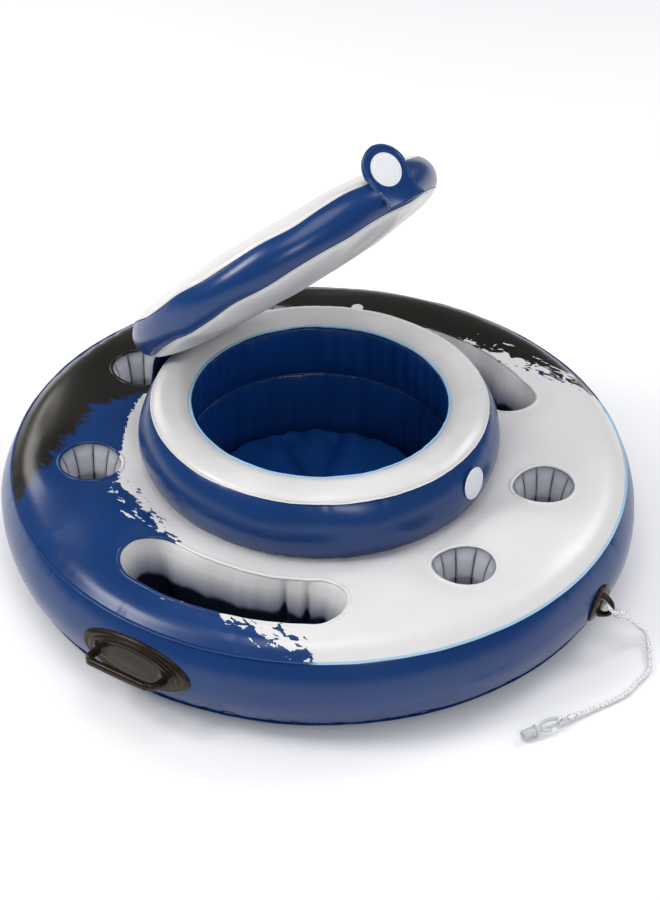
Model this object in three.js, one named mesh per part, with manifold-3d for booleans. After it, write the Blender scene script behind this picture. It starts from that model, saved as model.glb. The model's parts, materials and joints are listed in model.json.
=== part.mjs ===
// An inflatable floating drinks cooler: a round ring of welded film with five cup holders, two storage
// wells and a central cooler well under a hinged, inflated lid. It has two moulded handles and a tow rope
// that ends in a snap connector. Millimetres, +Z up. The origin is the ring's centre on the ground. +X
// points to the tow eye and the lid's latch. The lid's hinge lies along Y on the -X side, and the lid
// stands half open, as it does when the cooler is in use.
import * as THREE from "three";
import { mergeVertices } from "three/addons/utils/BufferGeometryUtils.js";
import Module from "manifold-3d";

const wasm = await Module();
wasm.setup();

// ---------------------------------------------------------------- driving dimensions
const FILM = 1.0; // modelled thickness of the welded film
const GAP = 0.5; // clearance between pieces that are welded or rest on each other
const degrees = THREE.MathUtils.degToRad;

const RING = {
  outer: 444.5,
  seam: 427,
  inner: 190,
  bottomSeamZ: 17,
  topSeamZ: 123,
  crownZ: 148,
  sides: 48,
};
const COLLAR = { outer: 249, seam: 230, foot: 236, footZ: 134.5, topZ: 218, crown: 7, sides: 40 };
const WELL = { opening: 179, wall: 186, bulge: 7, floorZ: 40, underZ: 0, floorRadius: 181.5 };
const CUP = { reach: 318, top: 43, bottom: 34, floorZ: 6, topZ: 147, angles: [-19, 19, 137, 180, -137] };
const STORE = { floorZ: 6.5, topZ: 144 };
const WELLS = [
  { name: "right", centre: -76, reach: 330, halfWidth: 45, halfSpan: 19.5 },
  { name: "left", centre: 76, reach: 303, halfWidth: 34, halfSpan: 18.6 },
];
const LID = {
  hingeX: -232,
  hingeZ: 256,
  hingeSkew: 6.6, // degrees the film hinge's line is turned about Z from the Y axis
  open: 44, // degrees the lid stands open at rest
  centre: 232,
  seam: 217,
  outer: 230,
  bottomZ: -19.5, // the lower seam's height from the hinge line
  height: 42,
  crownTop: 24,
  crownBottom: 27,
  sides: 40,
};
const LATCH = {
  root: 24,
  tip: 57,
  baseWidth: 110,
  waist: 60,
  head: 34,
  sheet: 1.6,
  patch: 22,
  collarPatchZ: 185,
};
const HANDLE = {
  angle: 87, // degrees round from +X on each side
  z: 74,
  width: 168,
  height: 68,
  gripWidth: 114,
  gripReach: 28,
  corner: 20,
  bar: 10,
  rise: 17, // degrees the right grip stands above level and the left one hangs below it
};
const EYE = { angle: 2, z: 62, flange: 27, bar: 7, width: 8, reach: 21, halfHeight: 20 };
const ROPE = { radius: 3, knot: 10, loop: 6.2, loopWire: 2, gap: 1.2 };
const HOOK = {
  length: 36,
  halfWidth: 10.5,
  bar: 4,
  thickness: 6,
  collar: 8,
  spigot: 4,
  barrel: 6.5,
  barrelLength: 18,
};
const VALVE = { flange: 14, neck: 8, bore: 6, depth: 9, capHeight: 4 };
const RING_VALVE = { angle: 115, reach: 335 };
const COLLAR_VALVE = { angle: 128, z: 176 };
const FLOOR_VALVE = { x: 64, y: -90 };
const LID_VALVE = { angle: 95 };

const COLOURS = {
  blue: { color: 0x0b3f86, roughness: 0.35, metalness: 0 },
  white: { color: 0xe6e6e8, roughness: 0.4, metalness: 0 },
  navy: { color: 0x10193a, roughness: 0.45, metalness: 0 },
  sky: { color: 0x9cc6ea, roughness: 0.4, metalness: 0 },
  black: { color: 0x17130f, roughness: 0.5, metalness: 0 },
  rope: { color: 0xd9dadb, roughness: 0.9, metalness: 0 },
  clear: { color: 0xc4c8cd, roughness: 0.25, metalness: 0 },
};

// ---------------------------------------------------------------- solids and meshes
// A three.js geometry as a manifold solid, turned the right way out.
function solid(geometry) {
  const plain = geometry.index ? geometry.toNonIndexed() : geometry.clone();
  plain.deleteAttribute("normal");
  plain.deleteAttribute("uv");
  const merged = mergeVertices(plain, 1e-4);
  const position = merged.attributes.position;
  const index = new Uint32Array(merged.index.array);
  let sixVolumes = 0;
  const corner = [new THREE.Vector3(), new THREE.Vector3(), new THREE.Vector3()];
  for (let i = 0; i < index.length; i += 3) {
    corner.forEach((c, k) => c.fromBufferAttribute(position, index[i + k]));
    sixVolumes += corner[0].dot(corner[1].cross(corner[2]));
  }
  if (sixVolumes < 0) {
    index.reverse();
  }
  const data = { numProp: 3, vertProperties: new Float32Array(position.array), triVerts: index };
  return new wasm.Manifold(new wasm.Mesh(data));
}

function geometryOf(body) {
  const mesh = body.getMesh();
  const geometry = new THREE.BufferGeometry();
  geometry.setAttribute("position", new THREE.BufferAttribute(new Float32Array(mesh.vertProperties), 3));
  geometry.setIndex(new THREE.BufferAttribute(new Uint32Array(mesh.triVerts), 1));
  geometry.computeVertexNormals();
  return geometry;
}

function piece(name, body, colour, parent) {
  const mesh = new THREE.Mesh(geometryOf(body), new THREE.MeshStandardMaterial(COLOURS[colour]));
  mesh.name = name;
  parent.add(mesh);
  return mesh;
}

// A profile of [radius, height] points, closed on itself or on the axis, turned about Z.
function turned(profile, sides) {
  const points = profile.map(([r, z]) => new THREE.Vector2(r, z));
  const onAxis = profile[0][0] === 0 && profile.at(-1)[0] === 0;
  if (!onAxis) points.push(points[0].clone());
  return solid(new THREE.LatheGeometry(points, sides).rotateX(Math.PI / 2));
}

// A line of [radius, height] points moved sideways by a distance, to the left of the way the line runs.
function offsetLine(line, distance) {
  return line.map(([r, z], i) => {
    const before = line[Math.max(i - 1, 0)];
    const after = line[Math.min(i + 1, line.length - 1)];
    const run = Math.hypot(after[0] - before[0], after[1] - before[1]);
    const left = [-(after[1] - before[1]) / run, (after[0] - before[0]) / run];
    if (r === 0) return [0, z + distance * Math.sign(left[1])];
    return [r + left[0] * distance, z + left[1] * distance];
  });
}

// A film sheet turned about Z: a line and the same line moved to its left (side 1) or its right (side -1).
function sheet(line, side, sides, thickness = FILM) {
  return turned([...line, ...offsetLine(line, side * thickness).reverse()], sides);
}

// Points on an arc from one [radius, height] to another that bulges sideways by a given height of arc.
function bulge(from, to, height, count) {
  const chord = Math.hypot(to[0] - from[0], to[1] - from[1]);
  const normal = [(to[1] - from[1]) / chord, -(to[0] - from[0]) / chord];
  return Array.from({ length: count + 1 }, (_, i) => {
    const t = i / count;
    const out = height * 4 * t * (1 - t);
    return [0, 1].map((k) => from[k] + (to[k] - from[k]) * t + normal[k] * out);
  });
}

function cylinder(radius, height, sides = 24) {
  return solid(new THREE.CylinderGeometry(radius, radius, height, sides).rotateX(Math.PI / 2));
}

function cone(bottom, top, height, sides) {
  return solid(new THREE.CylinderGeometry(top, bottom, height, sides).rotateX(Math.PI / 2));
}

function box(width, depth, height) {
  return solid(new THREE.BoxGeometry(width, depth, height));
}

function extruded(shape, height, curveSegments = 6) {
  const geometry = new THREE.ExtrudeGeometry(shape, { depth: height, bevelEnabled: false, curveSegments });
  return solid(geometry.translate(0, 0, -height / 2));
}

function around(angle, radius) {
  return [radius * Math.cos(degrees(angle)), radius * Math.sin(degrees(angle))];
}

// ---------------------------------------------------------------- shared outlines
const ringSide = bulge([RING.seam - 2, RING.bottomSeamZ], [RING.seam, RING.topSeamZ - 0.8], 18.5, 6);
const ringTop = [
  [RING.seam, RING.topSeamZ + 1],
  [406, 138.5],
  [370, 147],
  [320, RING.crownZ],
  [282, 142.5],
  [252, 134],
  [RING.inner, 131],
];
const ringBottom = [
  [RING.inner, 11],
  [214, 4],
  [244, 0],
  [352, 0],
  [400, 6],
  [RING.seam - 2, RING.bottomSeamZ - 1.8],
];
const collarSide = bulge([COLLAR.foot, COLLAR.footZ], [COLLAR.seam, COLLAR.topZ - 0.8], 16, 5);
const lidSeamZ = [LID.bottomZ + FILM + GAP + 0.3, LID.bottomZ + LID.height - FILM - GAP - 0.3];
const lidSide = bulge([LID.seam, lidSeamZ[0]], [LID.seam, lidSeamZ[1]], LID.outer - LID.seam, 4);

// A sheet crowned like a shallow dome from its seam to its centre.
function dome(seam, edgeZ, height, count = 4) {
  return Array.from({ length: count + 1 }, (_, i) => {
    const share = 1 - i / count;
    return [seam * share, edgeZ + height * (1 - share * share)];
  });
}

// The outline of a storage well, grown by a margin: an arc round the ring's centre with round ends.
function storeShape(well, grow) {
  const half = degrees(well.halfSpan);
  const width = well.halfWidth + grow;
  const shape = new THREE.Shape();
  const end = (sign) => around(sign * well.halfSpan, well.reach);
  shape.absarc(0, 0, well.reach + width, -half, half, false);
  shape.absarc(...end(1), width, half, half + Math.PI, false);
  shape.absarc(0, 0, well.reach - width, half, -half, true);
  shape.absarc(...end(-1), width, -half + Math.PI, -half + 2 * Math.PI, false);
  return shape;
}

// ---------------------------------------------------------------- the ring
// The inflated tube, with the wells and cup holes that pass through its top.
function ringTube(float) {
  const under = offsetLine(ringTop, FILM + GAP).slice(1);
  let tube = turned([...ringBottom, ...ringSide, ...under], RING.sides);
  const depth = CUP.topZ - CUP.floorZ + 10;
  const widening = ((CUP.top - CUP.bottom) * 10) / (depth - 10);
  const cup = cone(CUP.bottom + GAP, CUP.top + widening + GAP, depth, 16);
  for (const angle of CUP.angles) {
    tube = tube.subtract(cup.translate([...around(angle, CUP.reach), CUP.floorZ - GAP + depth / 2]));
  }
  for (const well of WELLS) {
    const room = extruded(storeShape(well, GAP), 160).rotate([0, 0, well.centre]);
    tube = tube.subtract(room.translate([0, 0, STORE.floorZ - GAP + 80]));
  }
  piece("ring_tube", tube.subtract(ringValveHole()), "blue", float);
}

function ringValveHole() {
  const [x, y] = around(RING_VALVE.angle, RING_VALVE.reach);
  return cylinder(VALVE.neck + GAP, 40, 12).translate([x, y, RING.crownZ]);
}

function ringTopSheet(float) {
  let top = sheet(ringTop, 1, RING.sides);
  for (const angle of CUP.angles) {
    const [x, y] = around(angle, CUP.reach);
    top = top.subtract(cylinder(CUP.top + GAP, 60, 16).translate([x, y, CUP.topZ]));
  }
  for (const well of WELLS) {
    const room = extruded(storeShape(well, GAP), 60).rotate([0, 0, well.centre]);
    top = top.subtract(room.translate([0, 0, STORE.topZ]));
  }
  piece("ring_top_sheet", top.subtract(ringValveHole()), "white", float);
}

function cupHolders(float) {
  const height = CUP.topZ - CUP.floorZ;
  const outside = cone(CUP.bottom, CUP.top, height, 16);
  const inside = cone(CUP.bottom - FILM, CUP.top - FILM, height, 16).translate([0, 0, FILM]);
  const sleeve = outside.subtract(inside).translate([0, 0, CUP.floorZ + height / 2]);
  CUP.angles.forEach((angle, i) => {
    piece(`cup_sleeve_${i + 1}`, sleeve.translate([...around(angle, CUP.reach), 0]), "white", float);
  });
}

function storageWells(float) {
  const height = STORE.topZ - STORE.floorZ;
  for (const well of WELLS) {
    const outside = extruded(storeShape(well, 0), height);
    const inside = extruded(storeShape(well, -FILM), height).translate([0, 0, FILM]);
    const sleeve = outside.subtract(inside).translate([0, 0, STORE.floorZ + height / 2]);
    piece(`storage_sleeve_${well.name}`, sleeve.rotate([0, 0, well.centre]), "white", float);
  }
}

// ---------------------------------------------------------------- the cooler well and its collar
function collarPieces(float) {
  const edge = COLLAR.topZ + 0.8;
  const middle = (COLLAR.seam + WELL.opening + 3) / 2;
  const top = [
    [COLLAR.seam, edge],
    [middle + 13, edge + COLLAR.crown - 1.5],
    [middle - 10, edge + COLLAR.crown - 0.5],
    [WELL.opening + 3, edge],
  ];
  piece("collar_top_sheet", sheet(top, 1, COLLAR.sides), "white", float);

  const inner = WELL.wall + 2.5;
  const foot = [[inner, COLLAR.footZ - 1.5]];
  const under = offsetLine(top, FILM + GAP).slice(1, -1);
  const tube = turned([...foot, ...collarSide, ...under, [WELL.opening + 4, edge - 2]], COLLAR.sides);
  const hole = cylinder(VALVE.neck + GAP, 60, 12).rotate([0, 90, 0]);
  const valveHole = hole.translate([COLLAR.outer, 0, COLLAR_VALVE.z]).rotate([0, 0, COLLAR_VALVE.angle]);
  piece("collar_tube", tube.subtract(valveHole), "blue", float);
}

function wellPieces(float) {
  const upper = bulge([WELL.wall, 132.6], [WELL.opening, COLLAR.topZ - 3.2], -WELL.bulge, 3);
  const lower = bulge([WELL.wall + 2, 14], [WELL.wall, 129], -WELL.bulge, 3);
  piece("well_wall_upper", sheet(upper, -1, COLLAR.sides), "navy", float);
  piece("well_wall_lower", sheet(lower, -1, COLLAR.sides), "navy", float);

  const tube = 2.4;
  const piping = new THREE.TorusGeometry(WELL.opening - 1, tube, 5, COLLAR.sides);
  piece("well_edge_piping", solid(piping.translate(0, 0, COLLAR.topZ + 0.2)), "sky", float);

  const rimZ = (WELL.floorZ + WELL.underZ) / 2;
  const above = [
    [WELL.floorRadius, rimZ + 1],
    [WELL.floorRadius - 8, WELL.floorZ - 5],
    [WELL.floorRadius - 24, WELL.floorZ],
    [0, WELL.floorZ],
  ];
  const below = above.map(([r, z]) => [r, 2 * rimZ - z]);
  const cushion = turned([...below.reverse(), ...above], COLLAR.sides);
  const hole = cylinder(VALVE.neck + GAP, 24, 12);
  const valveHole = hole.translate([FLOOR_VALVE.x, FLOOR_VALVE.y, WELL.floorZ]);
  piece("floor_cushion", cushion.subtract(valveHole), "blue", float);
}

// ---------------------------------------------------------------- handles
// A shell that hugs a turned outline, kept only where a tool solid passes through it.
function patch(outline, thickness, sides, tool) {
  const lifted = offsetLine(outline, -0.4);
  return sheet(lifted, -1, sides, thickness).intersect(tool);
}

function handleBase(turn) {
  const oval = new THREE.Shape();
  oval.absellipse(0, 0, HANDLE.width / 2, HANDLE.height / 2, 0, 2 * Math.PI, false);
  const tool = extruded(oval, 80, 8).rotate([90, 0, 0]).translate([0, -RING.outer, HANDLE.z]);
  return patch(ringSide, 3, RING.sides, tool.rotate([0, 0, turn]));
}

// The grip is a flat loop: two legs run out from the base and a bar joins them round two corners.
function gripOutline(inset, back) {
  const half = HANDLE.gripWidth / 2 - inset;
  const reach = HANDLE.gripReach - inset;
  const corner = HANDLE.corner - inset;
  const shape = new THREE.Shape();
  shape.moveTo(half, back);
  shape.lineTo(half, corner - reach);
  shape.absarc(half - corner, corner - reach, corner, 0, -Math.PI / 2, true);
  shape.absarc(corner - half, corner - reach, corner, -Math.PI / 2, -Math.PI, true);
  shape.lineTo(-half, back);
  return shape;
}

function gripShape() {
  const outer = extruded(gripOutline(0, 0), HANDLE.bar, 4);
  return outer.subtract(extruded(gripOutline(HANDLE.bar, 1), HANDLE.bar * 2, 4));
}

function handle(float, side, name) {
  const turn = side < 0 ? 90 - HANDLE.angle : 90 + HANDLE.angle;
  piece(`handle_base_${name}`, handleBase(turn), "black", float);
  const root = new THREE.Group();
  root.rotation.z = degrees(turn);
  const grip = new THREE.Group();
  grip.position.set(0, -(RING.outer + HANDLE.bar), HANDLE.z);
  grip.rotation.x = degrees(side * HANDLE.rise);
  root.add(grip);
  float.add(root);
  piece(`handle_grip_${name}`, gripShape(), "black", grip);
}

// ---------------------------------------------------------------- tow eye, rope and snap connector
function towEye(float) {
  const disc = cylinder(EYE.flange, 60, 20).rotate([0, 90, 0]).translate([RING.outer, 0, EYE.z]);
  const flange = patch(ringSide, 3.2, RING.sides, disc.rotate([0, 0, EYE.angle]));
  const loop = new THREE.Shape();
  loop.absellipse(0, 0, EYE.reach, EYE.halfHeight, -Math.PI / 2, Math.PI / 2, false);
  const hole = new THREE.Shape();
  hole.absellipse(0, 0, EYE.reach - EYE.bar, EYE.halfHeight - EYE.bar, 0, 2 * Math.PI, false);
  const flat = extruded(loop, EYE.width, 8).subtract(extruded(hole, EYE.width * 2, 8));
  const upright = flat.rotate([90, 0, 0]).translate([RING.outer + 0.6, 0, EYE.z]);
  piece("tow_eye", flange.add(upright.rotate([0, 0, EYE.angle])), "black", float);
}

// Where the rope bends, from the tow eye's bar down to the ground and round beside the ring.
const EYE_BAR = RING.outer + 0.6 + EYE.reach - EYE.bar / 2;
const ROPE_POINTS = [
  [EYE_BAR * Math.cos(degrees(EYE.angle)), EYE_BAR * Math.sin(degrees(EYE.angle)), EYE.z],
  [500, 57, 10],
  [534, 0, ROPE.radius + 2],
  [531, -60, ROPE.radius + 1],
  [508, -112, ROPE.radius + 1],
  [488, -155, HOOK.collar + 0.6],
].map((point) => new THREE.Vector3(...point));
const LINKS = ROPE_POINTS.length - 1;
const HOOK_TURN = -117; // degrees from +X in which the connector points away from the rope

// Each link's round end is centred on the bend it shares with the next link, which starts clear of it.
function ropeLink(from, to, startGap, endGap) {
  const along = to.clone().sub(from).normalize();
  const start = from.clone().addScaledVector(along, startGap);
  const end = to.clone().addScaledVector(along, -endGap);
  const length = start.distanceTo(end) - 2 * ROPE.radius;
  const geometry = new THREE.CapsuleGeometry(ROPE.radius, length, 3, 8);
  const turn = new THREE.Quaternion().setFromUnitVectors(new THREE.Vector3(0, 1, 0), along);
  const middle = start.add(end).multiplyScalar(0.5);
  return solid(geometry.applyQuaternion(turn).translate(middle.x, middle.y, middle.z));
}

function ropePieces(float) {
  const knot = new THREE.TorusGeometry(ROPE.knot, ROPE.radius, 6, 12);
  const [eye] = ROPE_POINTS;
  piece("rope_knot", solid(knot.translate(eye.x, eye.y, eye.z)), "rope", float);
  for (let i = 0; i < LINKS; i++) {
    const startGap = i === 0 ? ROPE.knot + ROPE.radius + ROPE.gap : ROPE.radius + ROPE.gap;
    const endGap = i === LINKS - 1 ? ROPE.loop + ROPE.loopWire + ROPE.gap : -ROPE.radius;
    const link = ropeLink(ROPE_POINTS[i], ROPE_POINTS[i + 1], startGap, endGap);
    piece(`rope_link_${i + 1}`, link, "rope", float);
  }
}

// The connector lies along its own X axis from the bar that the rope's end loop goes round: an open
// leaf-shaped loop, a neck and a collar, then a slotted barrel that turns on the spigot.
function connector(float) {
  const end = ROPE_POINTS.at(-1);
  const facing = (rotation) => (rotation.z = degrees(HOOK_TURN));
  const hook = placed(float, end.x, end.y, end.z, facing);
  const loop = new THREE.TorusGeometry(ROPE.loop, ROPE.loopWire, 6, 12).rotateX(Math.PI / 2);
  piece("rope_end_loop", solid(loop), "rope", hook);

  const centre = HOOK.length / 2 - HOOK.bar / 2;
  const leaf = new THREE.Shape();
  leaf.absellipse(centre, 0, HOOK.length / 2, HOOK.halfWidth, 0, 2 * Math.PI, false);
  const eye = new THREE.Shape();
  const [eyeLength, eyeWidth] = [HOOK.length / 2 - HOOK.bar, HOOK.halfWidth - HOOK.bar];
  eye.absellipse(centre, 0, eyeLength, eyeWidth, 0, 2 * Math.PI, false);
  const mouth = box(8, HOOK.halfWidth, HOOK.thickness * 2).translate([centre, HOOK.halfWidth * 0.9, 0]);
  const closed = extruded(leaf, HOOK.thickness, 5).subtract(extruded(eye, HOOK.thickness * 2, 5));
  const ring = closed.subtract(mouth);
  const neckEnd = centre + HOOK.length / 2 + 4;
  const neck = box(7, 7, HOOK.thickness).translate([neckEnd - 3, 0, 0]);
  const lengthwise = (radius, length, start) =>
    cylinder(radius, length, 16).rotate([0, 90, 0]).translate([start + length / 2, 0, 0]);
  const collar = lengthwise(HOOK.collar, 3, neckEnd);
  const spigot = lengthwise(HOOK.spigot, 9, neckEnd + 2);
  piece("hook_body", ring.add(neck).add(collar).add(spigot), "clear", hook);

  // The sprung gate closes the loop's mouth from inside.
  const gateY = eyeWidth - 2.6;
  piece("hook_gate", box(11, 2.2, 5).translate([centre + 1.5, gateY, 0]), "clear", hook);

  const barrelStart = neckEnd + 3.6;
  const bore = lengthwise(HOOK.spigot + 0.5, 12, barrelStart - 1);
  const slot = box(6, 20, 3).translate([barrelStart + 8, 0, 0]);
  const barrel = lengthwise(HOOK.barrel, HOOK.barrelLength, barrelStart);
  piece("hook_barrel", barrel.subtract(bore).subtract(slot), "clear", hook);
}

// ---------------------------------------------------------------- valves
// A valve stands on its own +Z axis: a flange and neck welded to the film, and a plug that pulls out.
function valve(name, parent) {
  const flange = cylinder(VALVE.flange, 1.4, 20).translate([0, 0, 0.7]);
  const neck = cylinder(VALVE.neck, VALVE.depth, 16).translate([0, 0, -VALVE.depth / 2 + 1]);
  const bore = cylinder(VALVE.bore, 40, 16);
  piece(`${name}_valve_base`, flange.add(neck).subtract(bore), "clear", parent);
  const cap = cylinder(VALVE.bore + 3, VALVE.capHeight - 1.5, 16).translate([0, 0, 1.7 + 1.25]);
  const stem = cylinder(VALVE.bore - 0.3, 7, 12).translate([0, 0, -1.5]);
  piece(`${name}_valve_plug`, cap.add(stem), "clear", parent);
}

function placed(parent, x, y, z, rotate = () => {}) {
  const group = new THREE.Group();
  group.position.set(x, y, z);
  rotate(group.rotation);
  parent.add(group);
  return group;
}

function floatValves(float) {
  const [ringX, ringY] = around(RING_VALVE.angle, RING_VALVE.reach);
  valve("ring", placed(float, ringX, ringY, RING.crownZ + GAP));
  const spin = new THREE.Group();
  spin.rotation.z = degrees(COLLAR_VALVE.angle);
  float.add(spin);
  const sideways = (rotation) => (rotation.y = Math.PI / 2);
  valve("collar", placed(spin, COLLAR.outer + GAP, 0, COLLAR_VALVE.z, sideways));
  valve("floor", placed(float, FLOOR_VALVE.x, FLOOR_VALVE.y, WELL.floorZ + GAP));
}

// ---------------------------------------------------------------- the lid, its hinge and its latch
// A flap welded to a turned outline on the hinge side, cut to width.
function hingeFlap(outline, sides, lowZ, highZ) {
  const height = highZ - lowZ;
  const tool = box(120, 150, height).translate([-LID.centre, 0, (lowZ + highZ) / 2]);
  return patch(outline, 1.2, sides, tool);
}

function lidPieces(float) {
  piece("hinge_flap_collar", hingeFlap(collarSide, COLLAR.sides, 186, 215), "blue", float);

  const skew = degrees(LID.hingeSkew);
  const hingeLine = new THREE.Vector3(-Math.sin(skew), -Math.cos(skew), 0);
  const opened = new THREE.Quaternion().setFromAxisAngle(hingeLine, degrees(LID.open));
  const lid = placed(float, LID.hingeX, 0, LID.hingeZ, (rotation) => rotation.setFromQuaternion(opened));
  const body = placed(lid, LID.centre, 0, 0);
  const top = LID.bottomZ + LID.height;
  const hole = cylinder(VALVE.neck + GAP, 50, 12).rotate([0, 90, 0]);
  const middleZ = LID.bottomZ + LID.height / 2;
  const valveHole = hole.translate([LID.outer, 0, middleZ]).rotate([0, 0, LID_VALVE.angle]);
  const above = dome(LID.seam, top, LID.crownTop);
  const below = dome(LID.seam, LID.bottomZ, -LID.crownBottom);
  piece("lid_top_sheet", sheet(above, 1, LID.sides), "white", body);
  piece("lid_bottom_sheet", sheet(below, -1, LID.sides), "white", body);
  const roof = offsetLine(above, FILM + GAP).slice(1);
  const base = offsetLine(below, -(FILM + GAP)).slice(1).reverse();
  piece("lid_tube", turned([...base, ...lidSide, ...roof], LID.sides).subtract(valveHole), "blue", body);
  piece("hinge_flap_lid", hingeFlap(lidSide, LID.sides, -15, 15), "blue", body);

  const spin = placed(body, 0, 0, 0, (rotation) => (rotation.z = degrees(LID_VALVE.angle)));
  const sideways = (rotation) => (rotation.y = Math.PI / 2);
  valve("lid", placed(spin, LID.outer + GAP, 0, middleZ, sideways));
  latch(body);
}

// The latch strap stands up against the lid's side at rest, its patch facing out. It swings out and down
// over the collar, and its tip bends after its root.
function latch(body) {
  const strap = placed(body, LID.outer + 3, 0, LID.bottomZ);
  const root = new THREE.Shape();
  const half = LATCH.baseWidth / 2;
  root.moveTo(-half, 1);
  root.lineTo(half, 1);
  root.lineTo(LATCH.waist / 2, LATCH.root - 0.4);
  root.lineTo(-LATCH.waist / 2, LATCH.root - 0.4);
  const tip = new THREE.Shape();
  const headZ = LATCH.root + LATCH.tip - LATCH.head;
  tip.moveTo(LATCH.waist / 2, LATCH.root + 0.4);
  tip.absarc(0, headZ, LATCH.head, degrees(-20), degrees(200), false);
  tip.lineTo(-LATCH.waist / 2, LATCH.root + 0.4);
  const upright = (shape, thickness, x) =>
    extruded(shape, thickness, 8).rotate([90, 0, 0]).rotate([0, 0, 90]).translate([x, 0, 0]);
  piece("latch_strap_root", upright(root, LATCH.sheet, 0), "blue", strap);
  piece("latch_strap_tip", upright(tip, LATCH.sheet, 0), "blue", strap);
  const disc = cylinder(LATCH.patch, 1.4, 24).rotate([0, 90, 0]);
  const discX = LATCH.sheet / 2 + 0.7 + 0.3;
  piece("latch_patch_strap", disc.translate([discX, 0, headZ]), "white", strap);
}

function collarPatch(float) {
  const disc = cylinder(LATCH.patch, 40, 20).rotate([0, 90, 0]);
  const tool = disc.translate([COLLAR.outer, 0, LATCH.collarPatchZ]);
  piece("latch_patch_collar", patch(collarSide, 1.2, COLLAR.sides, tool), "white", float);
}

// ---------------------------------------------------------------- assembly
const cooler = new THREE.Group();
ringTube(cooler);
ringTopSheet(cooler);
cupHolders(cooler);
storageWells(cooler);
collarPieces(cooler);
wellPieces(cooler);
collarPatch(cooler);
handle(cooler, -1, "right");
handle(cooler, 1, "left");
towEye(cooler);
ropePieces(cooler);
connector(cooler);
floatValves(cooler);
lidPieces(cooler);

export default cooler;
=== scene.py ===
import json
import math
import bpy
import numpy as np
from mathutils import Matrix, Vector


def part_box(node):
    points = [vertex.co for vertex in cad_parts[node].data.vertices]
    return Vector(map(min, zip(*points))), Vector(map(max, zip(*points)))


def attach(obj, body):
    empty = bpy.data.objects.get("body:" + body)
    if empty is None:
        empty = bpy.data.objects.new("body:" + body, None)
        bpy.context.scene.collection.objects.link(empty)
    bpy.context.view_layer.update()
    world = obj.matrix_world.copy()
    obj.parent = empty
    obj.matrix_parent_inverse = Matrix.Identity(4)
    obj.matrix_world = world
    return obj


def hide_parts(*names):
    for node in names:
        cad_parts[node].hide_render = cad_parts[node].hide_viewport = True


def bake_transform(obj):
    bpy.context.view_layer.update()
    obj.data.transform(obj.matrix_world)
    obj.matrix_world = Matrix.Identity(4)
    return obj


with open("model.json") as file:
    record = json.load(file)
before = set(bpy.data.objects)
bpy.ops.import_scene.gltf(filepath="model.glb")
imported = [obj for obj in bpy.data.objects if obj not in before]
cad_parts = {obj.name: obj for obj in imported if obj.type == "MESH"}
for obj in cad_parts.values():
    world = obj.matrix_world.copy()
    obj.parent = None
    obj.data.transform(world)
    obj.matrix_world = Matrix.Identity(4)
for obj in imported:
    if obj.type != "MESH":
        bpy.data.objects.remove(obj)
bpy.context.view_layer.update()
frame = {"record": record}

MM = 0.001
TAU = 2 * math.pi
# The film's thickness, and that of the wells' thinner film.
FILM, THIN_FILM = 0.7, 0.6


# ------------------------------ the frame's numbers, in millimetres
def box_mm(node):
    low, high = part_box(node)
    return np.array(low) / MM, np.array(high) / MM


JOINTS = {joint["name"]: joint for joint in frame["record"]["behaviour"]["joints"]}


def joint_mm(name):
    return np.array(JOINTS[name]["pos_m"]) / MM


RING_OUTER = box_mm("ring_tube")[1][0]
RING_SEAM = box_mm("ring_top_sheet")[1][0]
COLLAR_SEAM = box_mm("collar_top_sheet")[1][0]
COLLAR_TOP = box_mm("collar_top_sheet")[0][2]
PIPING_OUTER = box_mm("well_edge_piping")[1][0]
FLOOR_TOP = box_mm("floor_cushion")[1][2]
FLOOR_RADIUS = box_mm("floor_cushion")[1][0]
WALL_RADIUS = box_mm("well_wall_upper")[1][0]


def cup_centre(number):
    low, high = box_mm(f"cup_sleeve_{number}")
    return (low + high) / 2


CUPS = [cup_centre(number) for number in range(1, 6)]
CUP_MOUTH = (box_mm("cup_sleeve_1")[1][0] - box_mm("cup_sleeve_1")[0][0]) / 2
CUP_FLOOR = box_mm("cup_sleeve_1")[0][2] + 1.0
# The cup liners: how many panels, how far they draw in, and the shares of the depth at which they
# are fully drawn in and at which they step out below their weld.
CUP_PANELS = 11
CUP_DRAWN = 11.0
CUP_WAIST = 0.5
CUP_STEP = 0.33
# The two long wells: bearing of the middle, distance from the axis, half width, half the angle they
# span, and where round the mouth their walls fold.
WELLS = {
    "right": dict(
        centre=-76.0, reach=330.0, half_width=45.0, half_span=19.5, folds=(0.555, 0.595, 0.97)
    ),
    "left": dict(
        centre=76.0, reach=303.0, half_width=34.0, half_span=18.6, folds=(0.36, 0.56, 0.93)
    ),
}
WELL_FLOOR = box_mm("storage_sleeve_right")[0][2] + 1.0


# ------------------------------ shapes from numbers
def smooth_line(points, per_span=12):
    """A Catmull-Rom curve through the points."""
    points = np.array(points, float)
    ends = np.vstack([2 * points[0] - points[1], points, 2 * points[-1] - points[-2]])
    out = []
    for i in range(1, len(ends) - 2):
        a, b, c, d = ends[i - 1 : i + 3]
        for t in np.arange(per_span) / per_span:
            bend = (2 * a - 5 * b + 4 * c - d) * t * t + (3 * b - a - 3 * c + d) * t**3
            out.append(0.5 * (2 * b + (c - a) * t + bend))
    out.append(points[-1])
    return np.array(out)


def resample(line, count):
    """The same line as count points at even steps."""
    steps = np.linalg.norm(np.diff(line, axis=0), axis=1)
    along = np.concatenate([[0], np.cumsum(steps)])
    wanted = np.linspace(0, along[-1], count)
    return np.stack([np.interp(wanted, along, line[:, k]) for k in range(line.shape[1])], 1)


def ripple(theta, low, high, seed, terms=10):
    """A random wave round a circle with between low and high waves per turn, about 1 high."""
    rng = np.random.default_rng(seed)
    total = np.zeros_like(theta)
    for _ in range(terms):
        total += np.sin(rng.integers(low, high + 1) * theta + rng.uniform(0, TAU))
    return total * math.sqrt(2 / terms)


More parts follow.
